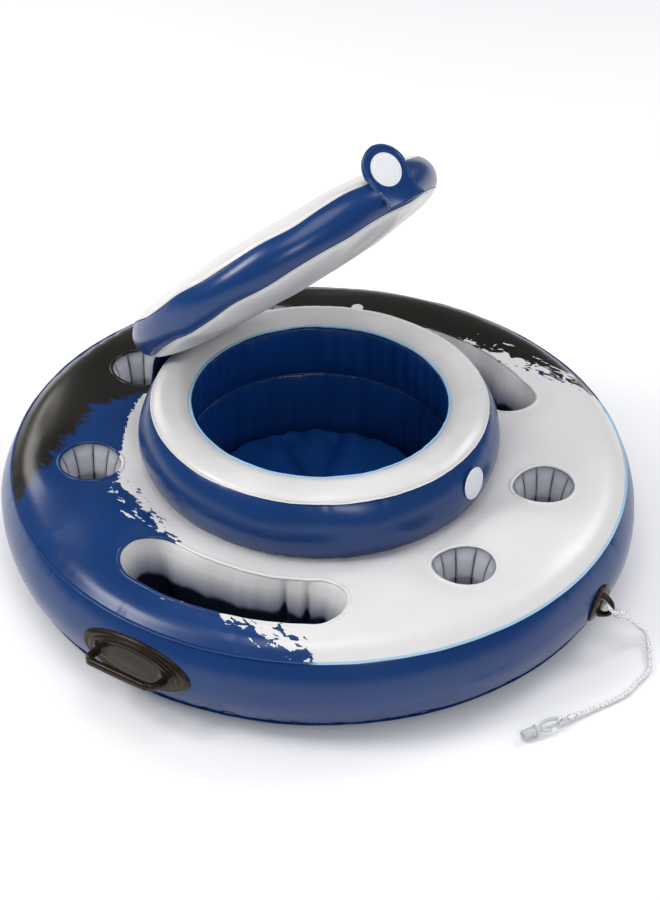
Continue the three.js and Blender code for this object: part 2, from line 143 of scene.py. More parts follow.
def puckers(theta, count, width, seed):
    """Narrow dimples at random places round a circle, each up to 1 deep."""
    rng = np.random.default_rng(seed)
    total = np.zeros_like(theta)
    for _ in range(count):
        apart = np.angle(np.exp(1j * (theta - rng.uniform(0, TAU))))
        total += rng.uniform(0.2, 1) * np.exp(-((apart / (width * rng.uniform(0.6, 1.6))) ** 2))
    return total


def waves(u, v, size, seed, terms=16):
    """A random field over (u, v) with swells about size across, about 1 high."""
    rng = np.random.default_rng(seed)
    total = np.zeros_like(u * v)
    for _ in range(terms):
        angle = rng.uniform(0, TAU)
        step = TAU / (size * rng.uniform(0.8, 1.8))
        total += np.sin(step * (u * math.cos(angle) + v * math.sin(angle)) + rng.uniform(0, TAU))
    return total * math.sqrt(2 / terms)


def angles(count):
    return np.arange(count) * TAU / count


def rows_down(count, theta):
    """A [row, column] array that runs from 0 at the first row to 1 at the last."""
    return np.linspace(0, 1, count)[:, None] * np.ones((1, len(theta)))


def bowed(share, power=1.0):
    """0 at both ends of share and 1 in its middle."""
    return (4 * share * (1 - share)) ** power


def at_ends(share, steep):
    """1 at both ends of share, falling off towards its middle."""
    return np.exp(-share * steep) + np.exp(-(1 - share) * steep)


def unit(vector):
    return vector / np.linalg.norm(vector)


def moved(*point):
    """The matrix that moves the origin to a point in mm."""
    return Matrix.Translation(Vector(point) * MM)


def turned(radius, height, theta):
    """Points [row, column] of a surface turned about Z, from its radii and heights."""
    radius = radius * np.ones_like(theta)[None, :]
    height = height * np.ones_like(theta)[None, :]
    return np.stack([radius * np.cos(theta), radius * np.sin(theta), height], 2)


def along_line(line, count, theta):
    """The line's radii and heights by row and column, and how far along it each row is, 0 to 1."""
    even = resample(np.array(line, float), count)
    ones = np.ones((1, len(theta)))
    return even[:, :1] * ones, even[:, 1:2] * ones, rows_down(count, theta)


def grid_faces(rows, columns, wrap, first=0):
    index = np.arange(rows * columns).reshape(rows, columns) + first
    right = np.roll(index, -1, 1) if wrap else index[:, 1:]
    left = index if wrap else index[:, :-1]
    quads = np.stack([left[:-1], right[:-1], right[1:], left[1:]], 2)
    return quads.reshape(-1, 4)


def add_object(name, points, faces, material, matrix=None):
    points = np.asarray(points, float).reshape(-1, 3) * MM
    mesh = bpy.data.meshes.new(name)
    mesh.from_pydata(points.tolist(), [], [list(face) for face in faces])
    mesh.validate()
    mesh.polygons.foreach_set("use_smooth", np.ones(len(mesh.polygons), bool))
    if matrix is not None:
        mesh.transform(matrix)
    mesh.materials.append(material)
    obj = bpy.data.objects.new(name, mesh)
    bpy.context.scene.collection.objects.link(obj)
    return obj


def grid_object(name, points, material, wrap=True, cap=False, keep=None, matrix=None, film=0.0):
    """A surface from points [row, column], joined up round each row if wrap is set.

    cap closes the last row, keep marks the points that stay, film is the sheet's thickness in mm.
    """
    rows, columns = points.shape[:2]
    quads = grid_faces(rows, columns, wrap)
    flat = points.reshape(-1, 3)
    if keep is not None:
        quads = quads[np.all(keep.reshape(-1)[quads], axis=1)]
    faces = quads.tolist()
    if cap:
        flat = np.vstack([flat, points[-1].mean(axis=0)])
        last = (rows - 1) * columns
        faces += [[last + i, last + (i + 1) % columns, len(flat) - 1] for i in range(columns)]
    obj = add_object(name, flat, faces, material, matrix)
    if film:
        thicken(obj, film)
    return obj


def thicken(obj, film):
    solid = obj.modifiers.new("film", "SOLIDIFY")
    solid.thickness = film * MM
    solid.offset = 0
    solid.use_even_offset = False


def frames_along(path, closed):
    """A direction along the path and two across it at each point, turning as little as they can."""
    if closed:
        ahead = np.roll(path, -1, 0) - np.roll(path, 1, 0)
    else:
        ahead = np.gradient(path, axis=0)
    ahead /= np.linalg.norm(ahead, axis=1)[:, None]
    side = np.cross(ahead[0], [0, 0, 1.0])
    if np.linalg.norm(side) < 0.1:
        side = np.cross(ahead[0], [0, 1.0, 0])
    sides = []
    for direction in ahead:
        side = side - direction * side.dot(direction)
        side = side / np.linalg.norm(side)
        sides.append(side)
    sides = np.array(sides)
    return ahead, sides, np.cross(ahead, sides)


def tube_points(path, radius, sides=12, closed=False, flat=1.0, boxy=0.0):
    """Points of a tube round a path. flat scales its second direction, boxy squares it off."""
    _, across, up = frames_along(path, closed)
    radius = np.broadcast_to(np.asarray(radius, float), (len(path),))
    turn = angles(sides)
    cos, sin = np.cos(turn), np.sin(turn)
    square = 1 / (1 - boxy + boxy * (cos**4 + sin**4) ** 0.25)
    cos, sin = cos * square, sin * square * flat
    offset = across[:, None] * cos[None, :, None] + up[:, None] * sin[None, :, None]
    points = path[:, None] + offset * radius[:, None, None]
    return np.concatenate([points, points[:1]]) if closed else points


def merged(name, grids, material, matrix=None):
    """One object from several tube grids, with flat closed ends."""
    points, faces, first = [], [], 0
    for grid in grids:
        rows, columns = grid.shape[:2]
        points.append(grid.reshape(-1, 3))
        faces += grid_faces(rows, columns, True, first).tolist()
        last = first + (rows - 1) * columns
        faces.append([first + i for i in range(columns)][::-1])
        faces.append([last + i for i in range(columns)])
        first += rows * columns
    return add_object(name, np.vstack(points), faces, material, matrix)


def twisted(path, radius, pitch, strands=3, closed=False, sides=8):
    """The strands of a twisted rope along a path, as tube grids."""
    _, across, up = frames_along(path, closed)
    steps = np.linalg.norm(np.diff(path, axis=0), axis=1)
    along = np.concatenate([[0], np.cumsum(steps)])
    if closed:
        length = along[-1] + np.linalg.norm(path[0] - path[-1])
        pitch = length / round(length / pitch)
    grids = []
    for k in range(strands):
        turn = TAU * (along / pitch + k / strands)
        aside = across * np.cos(turn)[:, None] + up * np.sin(turn)[:, None]
        centre = path + aside * radius * 0.5
        grids.append(tube_points(centre, radius * 0.56, sides, closed))
    return grids


def paint(obj, name, values):
    """A number at each vertex that the material can read."""
    attribute = obj.data.attributes.new(name, "FLOAT", "POINT")
    attribute.data.foreach_set("value", np.asarray(values, np.float32).ravel())


def settle(piece, slot, body, *nodes):
    """A rigid piece, the body it rides on and the CAD nodes it stands for; what it is made of (slot)
    is not used.
    """
    if nodes:
        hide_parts(*nodes)
    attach(piece, body)


def settle_bent(piece, slot, bodies, start, end, *nodes):
    """The same for a piece that spans from one body to the next, baked where it stands; its slot, its
    bodies and the two points in mm are not used.
    """
    if nodes:
        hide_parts(*nodes)
    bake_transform(piece)


# ------------------------------ materials
class Shader:
    """A material's nodes, with short ways to add and join them."""

    def __init__(self, name):
        self.material = bpy.data.materials.new(name)
        self.material.use_nodes = True
        self.tree = self.material.node_tree
        self.surface = self.tree.nodes["Principled BSDF"]

    def add(self, kind, inputs=None, **settings):
        node = self.tree.nodes.new(kind)
        for key, value in settings.items():
            setattr(node, key, value)
        for key, value in (inputs or {}).items():
            self.put(value, node.inputs[key])
        return node

    def put(self, value, socket):
        if isinstance(value, bpy.types.NodeSocket):
            self.tree.links.new(value, socket)
        else:
            socket.default_value = value

    def set(self, **inputs):
        for key, value in inputs.items():
            self.put(value, self.surface.inputs[key.replace("_", " ")])

    def position(self):
        return self.add("ShaderNodeTexCoord").outputs["Object"]

    def noise(self, scale, detail=3.0, rough=0.5, vector=None, distortion=0.0):
        inputs = {"Vector": vector or self.position(), "Scale": scale, "Detail": detail}
        inputs.update({"Roughness": rough, "Distortion": distortion})
        return self.add("ShaderNodeTexNoise", inputs).outputs["Fac"]

    def attribute(self, name):
        return self.add("ShaderNodeAttribute", attribute_name=name).outputs["Fac"]

    def math(self, operation, a, b=0.0, c=0.0):
        return self.add("ShaderNodeMath", {0: a, 1: b, 2: c}, operation=operation).outputs[0]

    def span(self, value, low, high, to_low=0.0, to_high=1.0):
        inputs = {"Value": value, "From Min": low, "From Max": high}
        inputs.update({"To Min": to_low, "To Max": to_high})
        return self.add("ShaderNodeMapRange", inputs).outputs["Result"]

    def cloud(self, scale, detail=3.0, to_low=0.0, to_high=1.0):
        return self.span(self.noise(scale, detail), 0.1, 0.9, to_low, to_high)

    def mix(self, share, a, b):
        node = self.add("ShaderNodeMix", data_type="RGBA")
        for socket, value in ((node.inputs[0], share), (node.inputs[6], a), (node.inputs[7], b)):
            self.put(value, socket)
        return node.outputs[2]

    def bump(self, height, strength, distance, normal=None):
        inputs = {"Height": height, "Strength": strength, "Distance": distance}
        if normal is not None:
            inputs["Normal"] = normal
        return self.add("ShaderNodeBump", inputs).outputs["Normal"]


def shade(colour, factor):
    return (colour[0] * factor, colour[1] * factor, colour[2] * factor, 1)


def film_surface(shader, colour, roughness=0.3, grain=0.06):
    """Glossy welded vinyl: faint grain, slow swells in the gloss, a clear top layer."""
    shader.set(Base_Color=colour)
    shader.set(Roughness=shader.cloud(9.0, 2.0, roughness - 0.06, roughness + 0.08))
    normal = shader.bump(shader.noise(17.0, 2.0, 0.4), 0.07, 0.006)
    normal = shader.bump(shader.noise(420.0, 4.0, 0.6), grain, 0.0006, normal)
    shader.set(Normal=normal, Coat_Weight=0.2, Coat_Roughness=0.2, Specular_IOR_Level=0.42)


def film(name, colour, roughness=0.3, sheen_through=0.0):
    shader = Shader(name)
    tinted = shader.mix(shader.cloud(14.0), shade(colour, 0.86), shade(colour, 1.1))
    film_surface(shader, tinted, roughness)
    if sheen_through:
        shader.set(Subsurface_Weight=sheen_through, Subsurface_Radius=(0.01, 0.01, 0.012))
        shader.surface.inputs["Subsurface Scale"].default_value = 0.4
    return shader.material


BLUE = (0.0015, 0.034, 0.15)
BLACK = (0.012, 0.0105, 0.008)
WHITE = (0.69, 0.68, 0.68)
SKY = (0.30, 0.56, 0.78)


def printed_film():
    """White film printed with blue and black areas that end in torn, splashed edges."""
    shader = Shader("printed_film")
    place = shader.position()
    stretch = {"Vector": place, "Rotation": (0, 0, 0.6), "Scale": (1.0, 2.1, 1.0)}
    leaning = shader.add("ShaderNodeMapping", stretch).outputs["Vector"]
    tear = shader.noise(24.0, 4.0, 0.55, leaning, 0.5)
    shred = shader.noise(40.0, 3.0, 0.55, leaning, 1.2)
    jitter = shader.math("MULTIPLY_ADD", tear, 3.4, shader.math("MULTIPLY", shred, 5.6))
    jitter = shader.math("SUBTRACT", jitter, 4.5)

    def edge(distance, ragged, softness):
        moved = shader.math("MULTIPLY_ADD", jitter, ragged, distance)
        return shader.span(moved, -softness, softness)

    inked = edge(shader.attribute("ink"), shader.attribute("ink_ragged"), 0.4)
    black = edge(shader.attribute("dark"), shader.attribute("dark_ragged"), 5.0)
    cloudy = shader.cloud(14.0)
    white = shader.mix(cloudy, shade(WHITE, 0.96), shade(WHITE, 1.03))
    blue = shader.mix(cloudy, shade(BLUE, 0.82), shade(BLUE, 1.12))
    ink = shader.mix(black, blue, shade(BLACK, 1.0))
    film_surface(shader, shader.mix(inked, white, ink), 0.3)
    return shader.material


def seam_film():
    """The welded rim: blue beside the printed areas, pale cyan beside the white."""
    shader = Shader("seam_film")
    inked = shader.span(shader.attribute("ink"), -4.0, 4.0)
    film_surface(shader, shader.mix(inked, shade(SKY, 0.9), shade(BLUE, 1.1)), 0.32)
    return shader.material


def well_liner():
    """The long wells' white film with painted shade: white at the mouth, slate lower down and nearly
    black at the floor.
    """
    shader = Shader("well_liner")
    depth = shader.math("ADD", shader.attribute("depth"), shader.cloud(25.0, 3.0, -0.04, 0.04))
    upper = shader.mix(shader.span(depth, 0.14, 0.45), shade(WHITE, 1.05), (0.16, 0.19, 0.29, 1))
    colour = shader.mix(shader.span(depth, 0.41, 0.46), upper, (0.006, 0.009, 0.022, 1))
    film_surface(shader, colour, 0.32)
    return shader.material


def cup_liner():
    """White film with painted shade: it greys in the creases between its panels and towards its
    floor.
    """
    shader = Shader("cup_liner")
    dim = shader.math("ADD", shader.attribute("shadow"), shader.cloud(40.0, 3.0, -0.05, 0.05))
    light = shader.mix(shader.span(dim, 0.0, 0.6), (0.74, 0.74, 0.78, 1), (0.24, 0.25, 0.3, 1))
    colour = shader.mix(shader.span(dim, 0.5, 1.0), light, (0.008, 0.009, 0.016, 1))
    film_surface(shader, colour, 0.3)
    return shader.material


def moulding(name, colour, roughness=0.42):
    """Soft moulded vinyl with a fine pebbled skin."""
    shader = Shader(name)
    pebble = shader.noise(650.0, 2.0)
    mottled = shader.mix(shader.noise(30.0, 3.0), shade(colour, 0.7), shade(colour, 1.5))
    shader.set(Base_Color=mottled)
    shader.set(Roughness=shader.cloud(45.0, 3.0, roughness - 0.08, roughness + 0.1))
    shader.set(Specular_Tint=(1.0, 0.82, 0.62, 1), Specular_IOR_Level=0.36)
    shader.set(Normal=shader.bump(pebble, 0.12, 0.0004), Coat_Weight=0.12, Coat_Roughness=0.15)
    return shader.material


def clear_plastic():
    """Milky clear plastic."""
    shader = Shader("clear_plastic")
    cloud = shader.noise(160.0, 4.0)
    shader.set(Base_Color=shader.mix(cloud, (0.62, 0.65, 0.68, 1), (0.92, 0.93, 0.95, 1)))
    shader.set(Roughness=shader.span(cloud, 0.1, 0.9, 0.1, 0.28))
    shader.set(Transmission_Weight=0.35, IOR=1.46)
    shader.set(Normal=shader.bump(shader.noise(700.0, 2.0), 0.1, 0.0003))
    return shader.material


def rope_fibre():
    """White fibre with grey flecks, ribbed by its yarns."""
    shader = Shader("rope_fibre")
    fleck = shader.span(shader.noise(430.0, 2.0, 0.6), 0.36, 0.5)
    shader.set(Base_Color=shader.mix(fleck, (0.3, 0.31, 0.33, 1), (0.88, 0.88, 0.88, 1)))
    shader.set(Roughness=0.8)
    shader.set(Normal=shader.bump(shader.noise(1400.0, 4.0), 0.5, 0.0004), Sheen_Weight=0.4)
    return shader.material


def patch_pile():
    """The fastening discs' short pile."""
    shader = Shader("patch_pile")
    inputs = {"Vector": shader.position(), "Scale": 900.0}
    cells = shader.add("ShaderNodeTexVoronoi", inputs).outputs["Distance"]
    tone = shader.mix(shader.span(cells, 0.0, 0.6), (0.88, 0.88, 0.9, 1), (0.66, 0.68, 0.73, 1))
    shader.set(Base_Color=tone, Roughness=0.75, Sheen_Weight=0.3)
    shader.set(Normal=shader.bump(cells, 0.35, 0.0006))
    return shader.material


blue_film = film("blue_film", BLUE, 0.27)
white_film = film("white_film", WHITE, 0.3, 0.12)
navy_film = film("navy_film", (0.003, 0.04, 0.19), 0.3)
# A lighter copy of the blue film for the well's floor cushion: painted light, where the floor faces
# up into the light.
lit_floor_film = film("lit_floor_film", (0.008, 0.085, 0.36), 0.28)
sky_film = film("sky_film", SKY, 0.3)
print_film = printed_film()
rim_film = seam_film()
# The wells' liner film carries painted shade that darkens it with depth.
liner_painted_shade = well_liner()
cup_film = cup_liner()
black_moulding = moulding("black_moulding", (0.010, 0.007, 0.0045), 0.3)
plastic = clear_plastic()
fibre = rope_fibre()
pile = patch_pile()
# Near-black film for the long wells' floors: the dark bottom sheet, darkened further as painted shade
# for the deep shadow in the wells.
floor_dark_and_shaded = film("floor_dark_and_shaded", (0.012, 0.016, 0.03), 0.36)


# ------------------------------ the ring's top, as a height over (x, y)
TOP_LINE = smooth_line(
    [(200, 131), (236, 132.5), (252, 136), (285, 145), (320, 149.5), (360, 148.5), (390, 143.5),
     (410, 136.5), (427, 124)]
)
TOP_INNER = 206.0
# Where the collar meets the ring: radius and height.
COLLAR_FOOT = (237.0, 131.5)
# How deep the top dips to a cup or well, and how far round it.
CUP_DIP, CUP_DIP_WIDTH = 8.0, 25.0
WELL_DIP, WELL_DIP_WIDTH = 8.0, 24.0


def cup_distance(x, y, cup):
    return np.hypot(x - cup[0], y - cup[1]) - CUP_MOUTH


def nearest_bearing(x, y, well):
    """The bearing of the point on a well's curved middle line that is nearest to (x, y)."""
    middle, half = math.radians(well["centre"]), math.radians(well["half_span"])
    apart = np.angle(np.exp(1j * (np.arctan2(y, x) - middle)))
    return middle + np.clip(apart, -half, half)


def well_distance(x, y, well):
    nearest = nearest_bearing(x, y, well)
    across = np.hypot(x - well["reach"] * np.cos(nearest), y - well["reach"] * np.sin(nearest))
    return across - well["half_width"]


def top_height(x, y):
    """The top sheet's height: a crowned ring that dips to the cups and wells and puckers at welds."""
    r, theta = np.hypot(x, y), np.arctan2(y, x)
    z = np.interp(r, TOP_LINE[:, 0], TOP_LINE[:, 1])
    z = z + 0.9 * waves(x, y, 150, 3) * np.clip((RING_SEAM - r) / 40, 0, 1)
    z = z - 1.2 * puckers(theta, 60, 0.016, 5) * np.exp(-np.maximum(RING_SEAM - r, 0) / 15)
    from_collar = np.maximum(r - COLLAR_FOOT[0] + 1, 0)
    z = z - 1.0 * puckers(theta, 50, 0.024, 6) * np.exp(-from_collar / 12)
    dips = []
    for number, cup in enumerate(CUPS):
        away = np.maximum(cup_distance(x, y, cup), 0)
        round_cup = np.arctan2(y - cup[1], x - cup[0])
        gathers = 0.5 * puckers(round_cup, 12, 0.12, 20 + number) * np.exp(-away / 7)
        dips.append(CUP_DIP * np.exp(-((away / CUP_DIP_WIDTH) ** 1.6)) + gathers)
    for number, well in enumerate(WELLS.values()):
        away = np.maximum(well_distance(x, y, well), 0)
        gathers = 0.4 * waves(x, y, 30, 40 + number) * np.exp(-away / 9)
        dips.append(WELL_DIP * np.exp(-((away / WELL_DIP_WIDTH) ** 1.6)) + gathers)
    return z - np.maximum.reduce(dips)


# ------------------------------ the print: signed distances, positive inside
# The front area of ink: left of the middle it starts at this radius, elsewhere beyond this y.
INNER_BAND = 275.0
FRONT_EDGE_Y = -354.0
# The black area's edge on the front half, as (y, x).
BLACK_EDGE = np.array(
    [(-430, -262), (-325, -266), (-288, -271), (-251, -277), (-191, -292), (-125, -302),
     (-93, -291), (-73, -280), (-29, -262), (-15, -200), (0, 0)], float
)


def print_fields(x, y):
    """Distance inside the ink, how ragged its edge is, and the same for the ink's black part."""
    r, theta = np.hypot(x, y), np.degrees(np.arctan2(y, x))
    leaning = 0.1045 * y - 0.9945 * x
    beyond = y - (321 + (x - 32) * 0.051)
    back = np.maximum(leaning, np.where(x > -40, beyond, leaning))
    left = np.interp(y, BLACK_EDGE[:, 0], BLACK_EDGE[:, 1]) - x
    dark = np.where(y > 0, back, left)
    splashed = np.exp(-(((theta + 117) / 17) ** 4))
    inner = r - INNER_BAND - 9.0 * splashed
    front = np.maximum(np.minimum(inner, -24 - x), FRONT_EDGE_Y - y)
    ink = np.where(y > 0, back - 10.0 * (x > 30), np.maximum(front, left))
    ragged = np.where(y > 0, 24.0, 3.0 + 17.0 * splashed)
    ragged = np.where((y < -300) & (x > 20), 20.0, ragged)
    ragged = np.where((y > 0) & (x < 20), 3.0, ragged)
    return ink, ragged, dark, np.where(y > 0, 0.0, 9.0)


def paint_print(piece, x, y):
    for name, values in zip(("ink", "ink_ragged", "dark", "dark_ragged"), print_fields(x, y)):
        paint(piece, name, values)


def ring_top():
    theta = angles(1260)
    r = np.linspace(TOP_INNER, RING_SEAM, 104)[:, None] * np.ones((1, len(theta)))
    points = turned(r, 0.0 * r, theta)
    x, y = points[..., 0], points[..., 1]
    points[..., 2] = top_height(x, y)
    gaps = [cup_distance(x, y, cup) for cup in CUPS]
    gaps += [well_distance(x, y, well) for well in WELLS.values()]
    top = grid_object("ring_top", points, print_film, keep=np.minimum.reduce(gaps) > 0.6)
    paint_print(top, x, y)
    thicken(top, FILM)
    settle(top, "printed_film", "float", "ring_top_sheet")


# The side wall: its heights, its radius at the foot and how much wider it is at the top.
SIDE_LOW, SIDE_HIGH = 17.0, 123.0
SIDE_FOOT, SIDE_TAPER = 425.0, 2.0
UNDER_LINE = smooth_line([(SIDE_FOOT, 17), (398, 6), (352, 0.6), (244, 0.6), (214, 4), (189, 10)])


def side_radius(z):
    share = np.clip((z - SIDE_LOW) / (SIDE_HIGH - SIDE_LOW), 0, 1)
    return SIDE_FOOT + SIDE_TAPER * share + (RING_OUTER - SIDE_FOOT - 1) * bowed(share)


def ring_skin():
    """The side wall and the underside, puckered where they are welded."""
    theta = angles(1080)
    z = np.linspace(SIDE_HIGH, SIDE_LOW, 44)
    radius, height, share = along_line(np.stack([side_radius(z), z], 1), 44, theta)
    radius = radius - 1.0 * puckers(theta, 60, 0.014, 11) * np.exp(-share * 9)
    radius = radius - 1.8 * puckers(theta, 90, 0.014, 12) * np.exp(-(1 - share) * 9)
    swell = 0.7 * ripple(theta, 4, 12, 13) + 0.12 * ripple(theta, 20, 45, 14)
    radius = radius + swell * np.sin(math.pi * share)
    low_radius, low_height, low_share = along_line(UNDER_LINE, 26, theta)
    low_height = low_height + 1.4 * puckers(theta, 80, 0.014, 15) * np.exp(-low_share * 12)
    low_height = low_height + 0.5 * ripple(theta, 6, 20, 16) * (low_share < 0.9)
    under = turned(low_radius, np.maximum(low_height, 0.3), theta)
    points = np.concatenate([turned(radius, height, theta), under[1:]])
    skin = grid_object("ring_skin", points, blue_film, film=FILM)
    settle(skin, "blue_film", "float", "ring_tube")


def rim_sway(theta, seed):
    return 0.25 * ripple(theta, 8, 24, seed) + 0.12 * ripple(theta, 40, 80, seed + 1)


def weld_bead(name, radius, height, theta, material, width, thick=1.1, sides=10, matrix=None):
    """A bead round a circle. Its radius and its height may vary as it goes round."""
    turn = angles(sides)[:, None]
    points = turned(radius + width / 2 * np.cos(turn), height + thick / 2 * np.sin(turn), theta)
    return grid_object(name, np.concatenate([points, points[:1]]), material, matrix=matrix)


def ring_rims():
    theta = angles(900)
    height = SIDE_HIGH + 0.8 + rim_sway(theta, 21)
    rim = weld_bead("ring_top_rim", RING_SEAM + 0.6, height, theta, rim_film, 4.2, 1.5)
    ink = print_fields(RING_SEAM * np.cos(theta), RING_SEAM * np.sin(theta))[0]
    paint(rim, "ink", np.tile(ink, 11))
    height = SIDE_LOW + rim_sway(theta, 23)
    low = weld_bead("ring_foot_rim", SIDE_FOOT + 1, height, theta, blue_film, 4.0)
    for piece in (rim, low):
        settle(piece, "blue_film", "float")


# ------------------------------ cups and wells
def rolled_mouth(name, line, normals):
    """The printed edge where the top sheet rolls over into a cup or well. Returns its height."""
    lip_z = top_height(line[:, 0] + 3 * normals[:, 0], line[:, 1] + 3 * normals[:, 1])
    rows = []
    for turn in np.linspace(0.0, 1.15 * math.pi, 12):
        out, rise = 1.5 + 2.6 * math.cos(turn), 1.7 * math.sin(turn) - 0.5
        rows.append(np.column_stack([line + normals * out, lip_z + rise]))
    points = np.stack(rows)
    lip = grid_object(name, points, print_film, film=FILM)
    paint_print(lip, points[..., 0], points[..., 1])
    settle(lip, "printed_film", "float")
    return lip_z


def cup_sleeve(number, cup):
    """A tapered liner gathered into broad panels with sharp creases between them."""
    theta = angles(300)
    rng = np.random.default_rng(60 + number)
    normals = np.column_stack([np.cos(theta), np.sin(theta)])
    mouth_z = rolled_mouth(f"cup_mouth_{number}", cup[:2] + CUP_MOUTH * normals, normals)
    lobe = theta * CUP_PANELS
    for turns in (1, 2, 3):
        lobe = lobe + 0.45 * np.sin(theta * turns + rng.uniform(0, TAU))
    swing = np.abs(np.sin(lobe / 2))
    bulge = swing**0.5
    crease = np.exp(-((swing / 0.16) ** 1.3))
    rows, shadows = [], []
    for depth in np.linspace(0.0, 1, 60):
        z = mouth_z - 1.0 + (CUP_FLOOR + 2.0 - mouth_z) * depth
        drawn_in = CUP_DRAWN * math.sin(math.pi / 2 * min(depth / CUP_WAIST, 1)) ** 1.1
        puff = 4.6 * bulge * min(depth * 8, 1)
        below = 1 / (1 + math.exp(-(depth - CUP_STEP) / 0.006))
        rows.append((CUP_MOUTH + 0.2 - drawn_in - puff + 1.6 * below, z))
        # Painted shade under the lip, below the step, towards the floor and in the creases, with a
        # painted highlight along the step (line_light).
        shade_amount = 0.16 + 0.5 * math.exp(-depth * 14) + 0.2 * below + 0.3 * depth
        line_light = -0.3 * math.exp(-(((depth - CUP_STEP) / 0.014) ** 2))
        shadows.append(np.maximum(shade_amount + line_light, 0) + 0.8 * crease * min(depth * 9, 1))
    base = CUP_MOUTH - CUP_DRAWN - 3.0
    for share in np.linspace(0.95, 0.06, 12):
        dome = 2.2 * (1 - share) + 0.8 * bulge * share
        rows.append((base * share + 0 * theta, CUP_FLOOR + 1.0 + dome))
        shadows.append(0.65 + 0.5 * crease * share)
    radius = np.stack([row[0] for row in rows])
    height = np.stack([row[1] + 0 * theta for row in rows])
    points = turned(radius, height, theta) + np.array([cup[0], cup[1], 0.0])
    sleeve = grid_object(f"cup_liner_{number}", points, cup_film, cap=True)
    paint(sleeve, "shadow", np.append(np.stack(shadows).ravel(), 0.7))
    thicken(sleeve, FILM)
    settle(sleeve, "white_film", "float", f"cup_sleeve_{number}")


def well_outline(well, count=460):
    """Points round a well's mouth and the outward direction at each."""
    middle, half = math.radians(well["centre"]), math.radians(well["half_span"])
    reach, width = well["reach"], well["half_width"]

    def bow(radius, angle):
        return np.array([radius * math.cos(angle), radius * math.sin(angle)])

    points = []
    for side, radius, steps in ((1, reach + width, 90), (-1, reach - width, 70)):
        for t in np.linspace(-half, half, steps, endpoint=False):
            points.append(bow(radius, middle + side * t))
        end = middle + side * half
        for t in np.linspace(0, math.pi, 50, endpoint=False):
            points.append(bow(reach, end) + bow(width, end + t + (0 if side > 0 else math.pi)))
    line = resample(np.array(points + points[:1]), count + 1)[:-1]
    ahead = np.roll(line, -1, 0) - np.roll(line, 1, 0)
    ahead /= np.linalg.norm(ahead, axis=1)[:, None]
    return line, np.stack([ahead[:, 1], -ahead[:, 0]], 1)


def storage_well(name, well, seed):
    """A long well's folded liner and its puffed floor."""
    line, normals = well_outline(well)
    around = angles(len(line))
    mouth_z = rolled_mouth(f"well_mouth_{name}", line, normals)
    nearest = nearest_bearing(line[:, 0], line[:, 1], well)
    spine = well["reach"] * np.stack([np.cos(nearest), np.sin(nearest)], 1)
    length = np.cumsum(np.linalg.norm(np.roll(line, -1, 0) - line, axis=1))
    share = length / length[-1]
    folds = sum(np.exp(-(((share - fold) / 0.006) ** 2)) for fold in well["folds"])
    puff = 1.0 + 0.3 * ripple(around, 3, 9, seed)
    wavy = 0.5 * ripple(around, 6, 16, seed + 5)
    crinkled = 0.35 * ripple(around, 20, 50, seed + 1)
    rows, shade_depths = [], []
    for depth in np.linspace(0.0, 1, 50):
        inward = 7.5 * math.sin(math.pi * depth**0.8) ** 0.9 * puff + 3.0 * depth - 0.3
        inward = inward - 6.5 * folds * math.sin(math.pi * min(depth * 1.1, 1)) ** 0.6
        inward = inward + crinkled * math.sin(math.pi * depth)
        z = mouth_z - 1.0 + (WELL_FLOOR + 3.0 - mouth_z) * depth
        rows.append(np.column_stack([line - normals * inward[:, None], z]))
        # Painted shade: the liner darkens with depth, more in its folds and along a wavy line.
        shade_depths.append(depth + 0.08 * wavy * depth + 0.1 * folds * min(depth * 4, 1))
    points = np.stack(rows)
    liner = grid_object(f"well_liner_{name}", points, liner_painted_shade)
    paint(liner, "depth", np.stack(shade_depths))
    thicken(liner, FILM)
    settle(liner, "white_film", "float", f"storage_sleeve_{name}")
    base, inner = points[-1], []
    for share in np.linspace(1.02, 0.0, 16):
        flat = spine + (base[:, :2] - spine) * share
        swell = 2.0 * (1 - share**2) + 0.6 * waves(flat[:, 0], flat[:, 1], 40, seed + 2)
        inner.append(np.column_stack([flat, WELL_FLOOR + 1.4 + swell]))
    # The floor's near-black film is partly painted shade.
    floor = grid_object(f"well_floor_{name}", np.stack(inner), floor_dark_and_shaded, film=THIN_FILM)
    settle(floor, "white_film", "float")


# ------------------------------ the collar and the cooler well
COLLAR_OUTER = box_mm("collar_tube")[1][0]
# The radius that the hinge's strip curves to, and the height of the weld round the well's wall.
WEB_CURVE = 238.0
WALL_WELD_Z = 131.0


def collar_side_line():
    low, high = np.array(COLLAR_FOOT), np.array([COLLAR_SEAM, COLLAR_TOP - 0.6])
    share = np.linspace(0, 1, 41)[:, None]
    line = low + (high - low) * share
    line[:, 0] += (COLLAR_OUTER - 233) * bowed(share[:, 0], 0.85)
    return line[::-1]


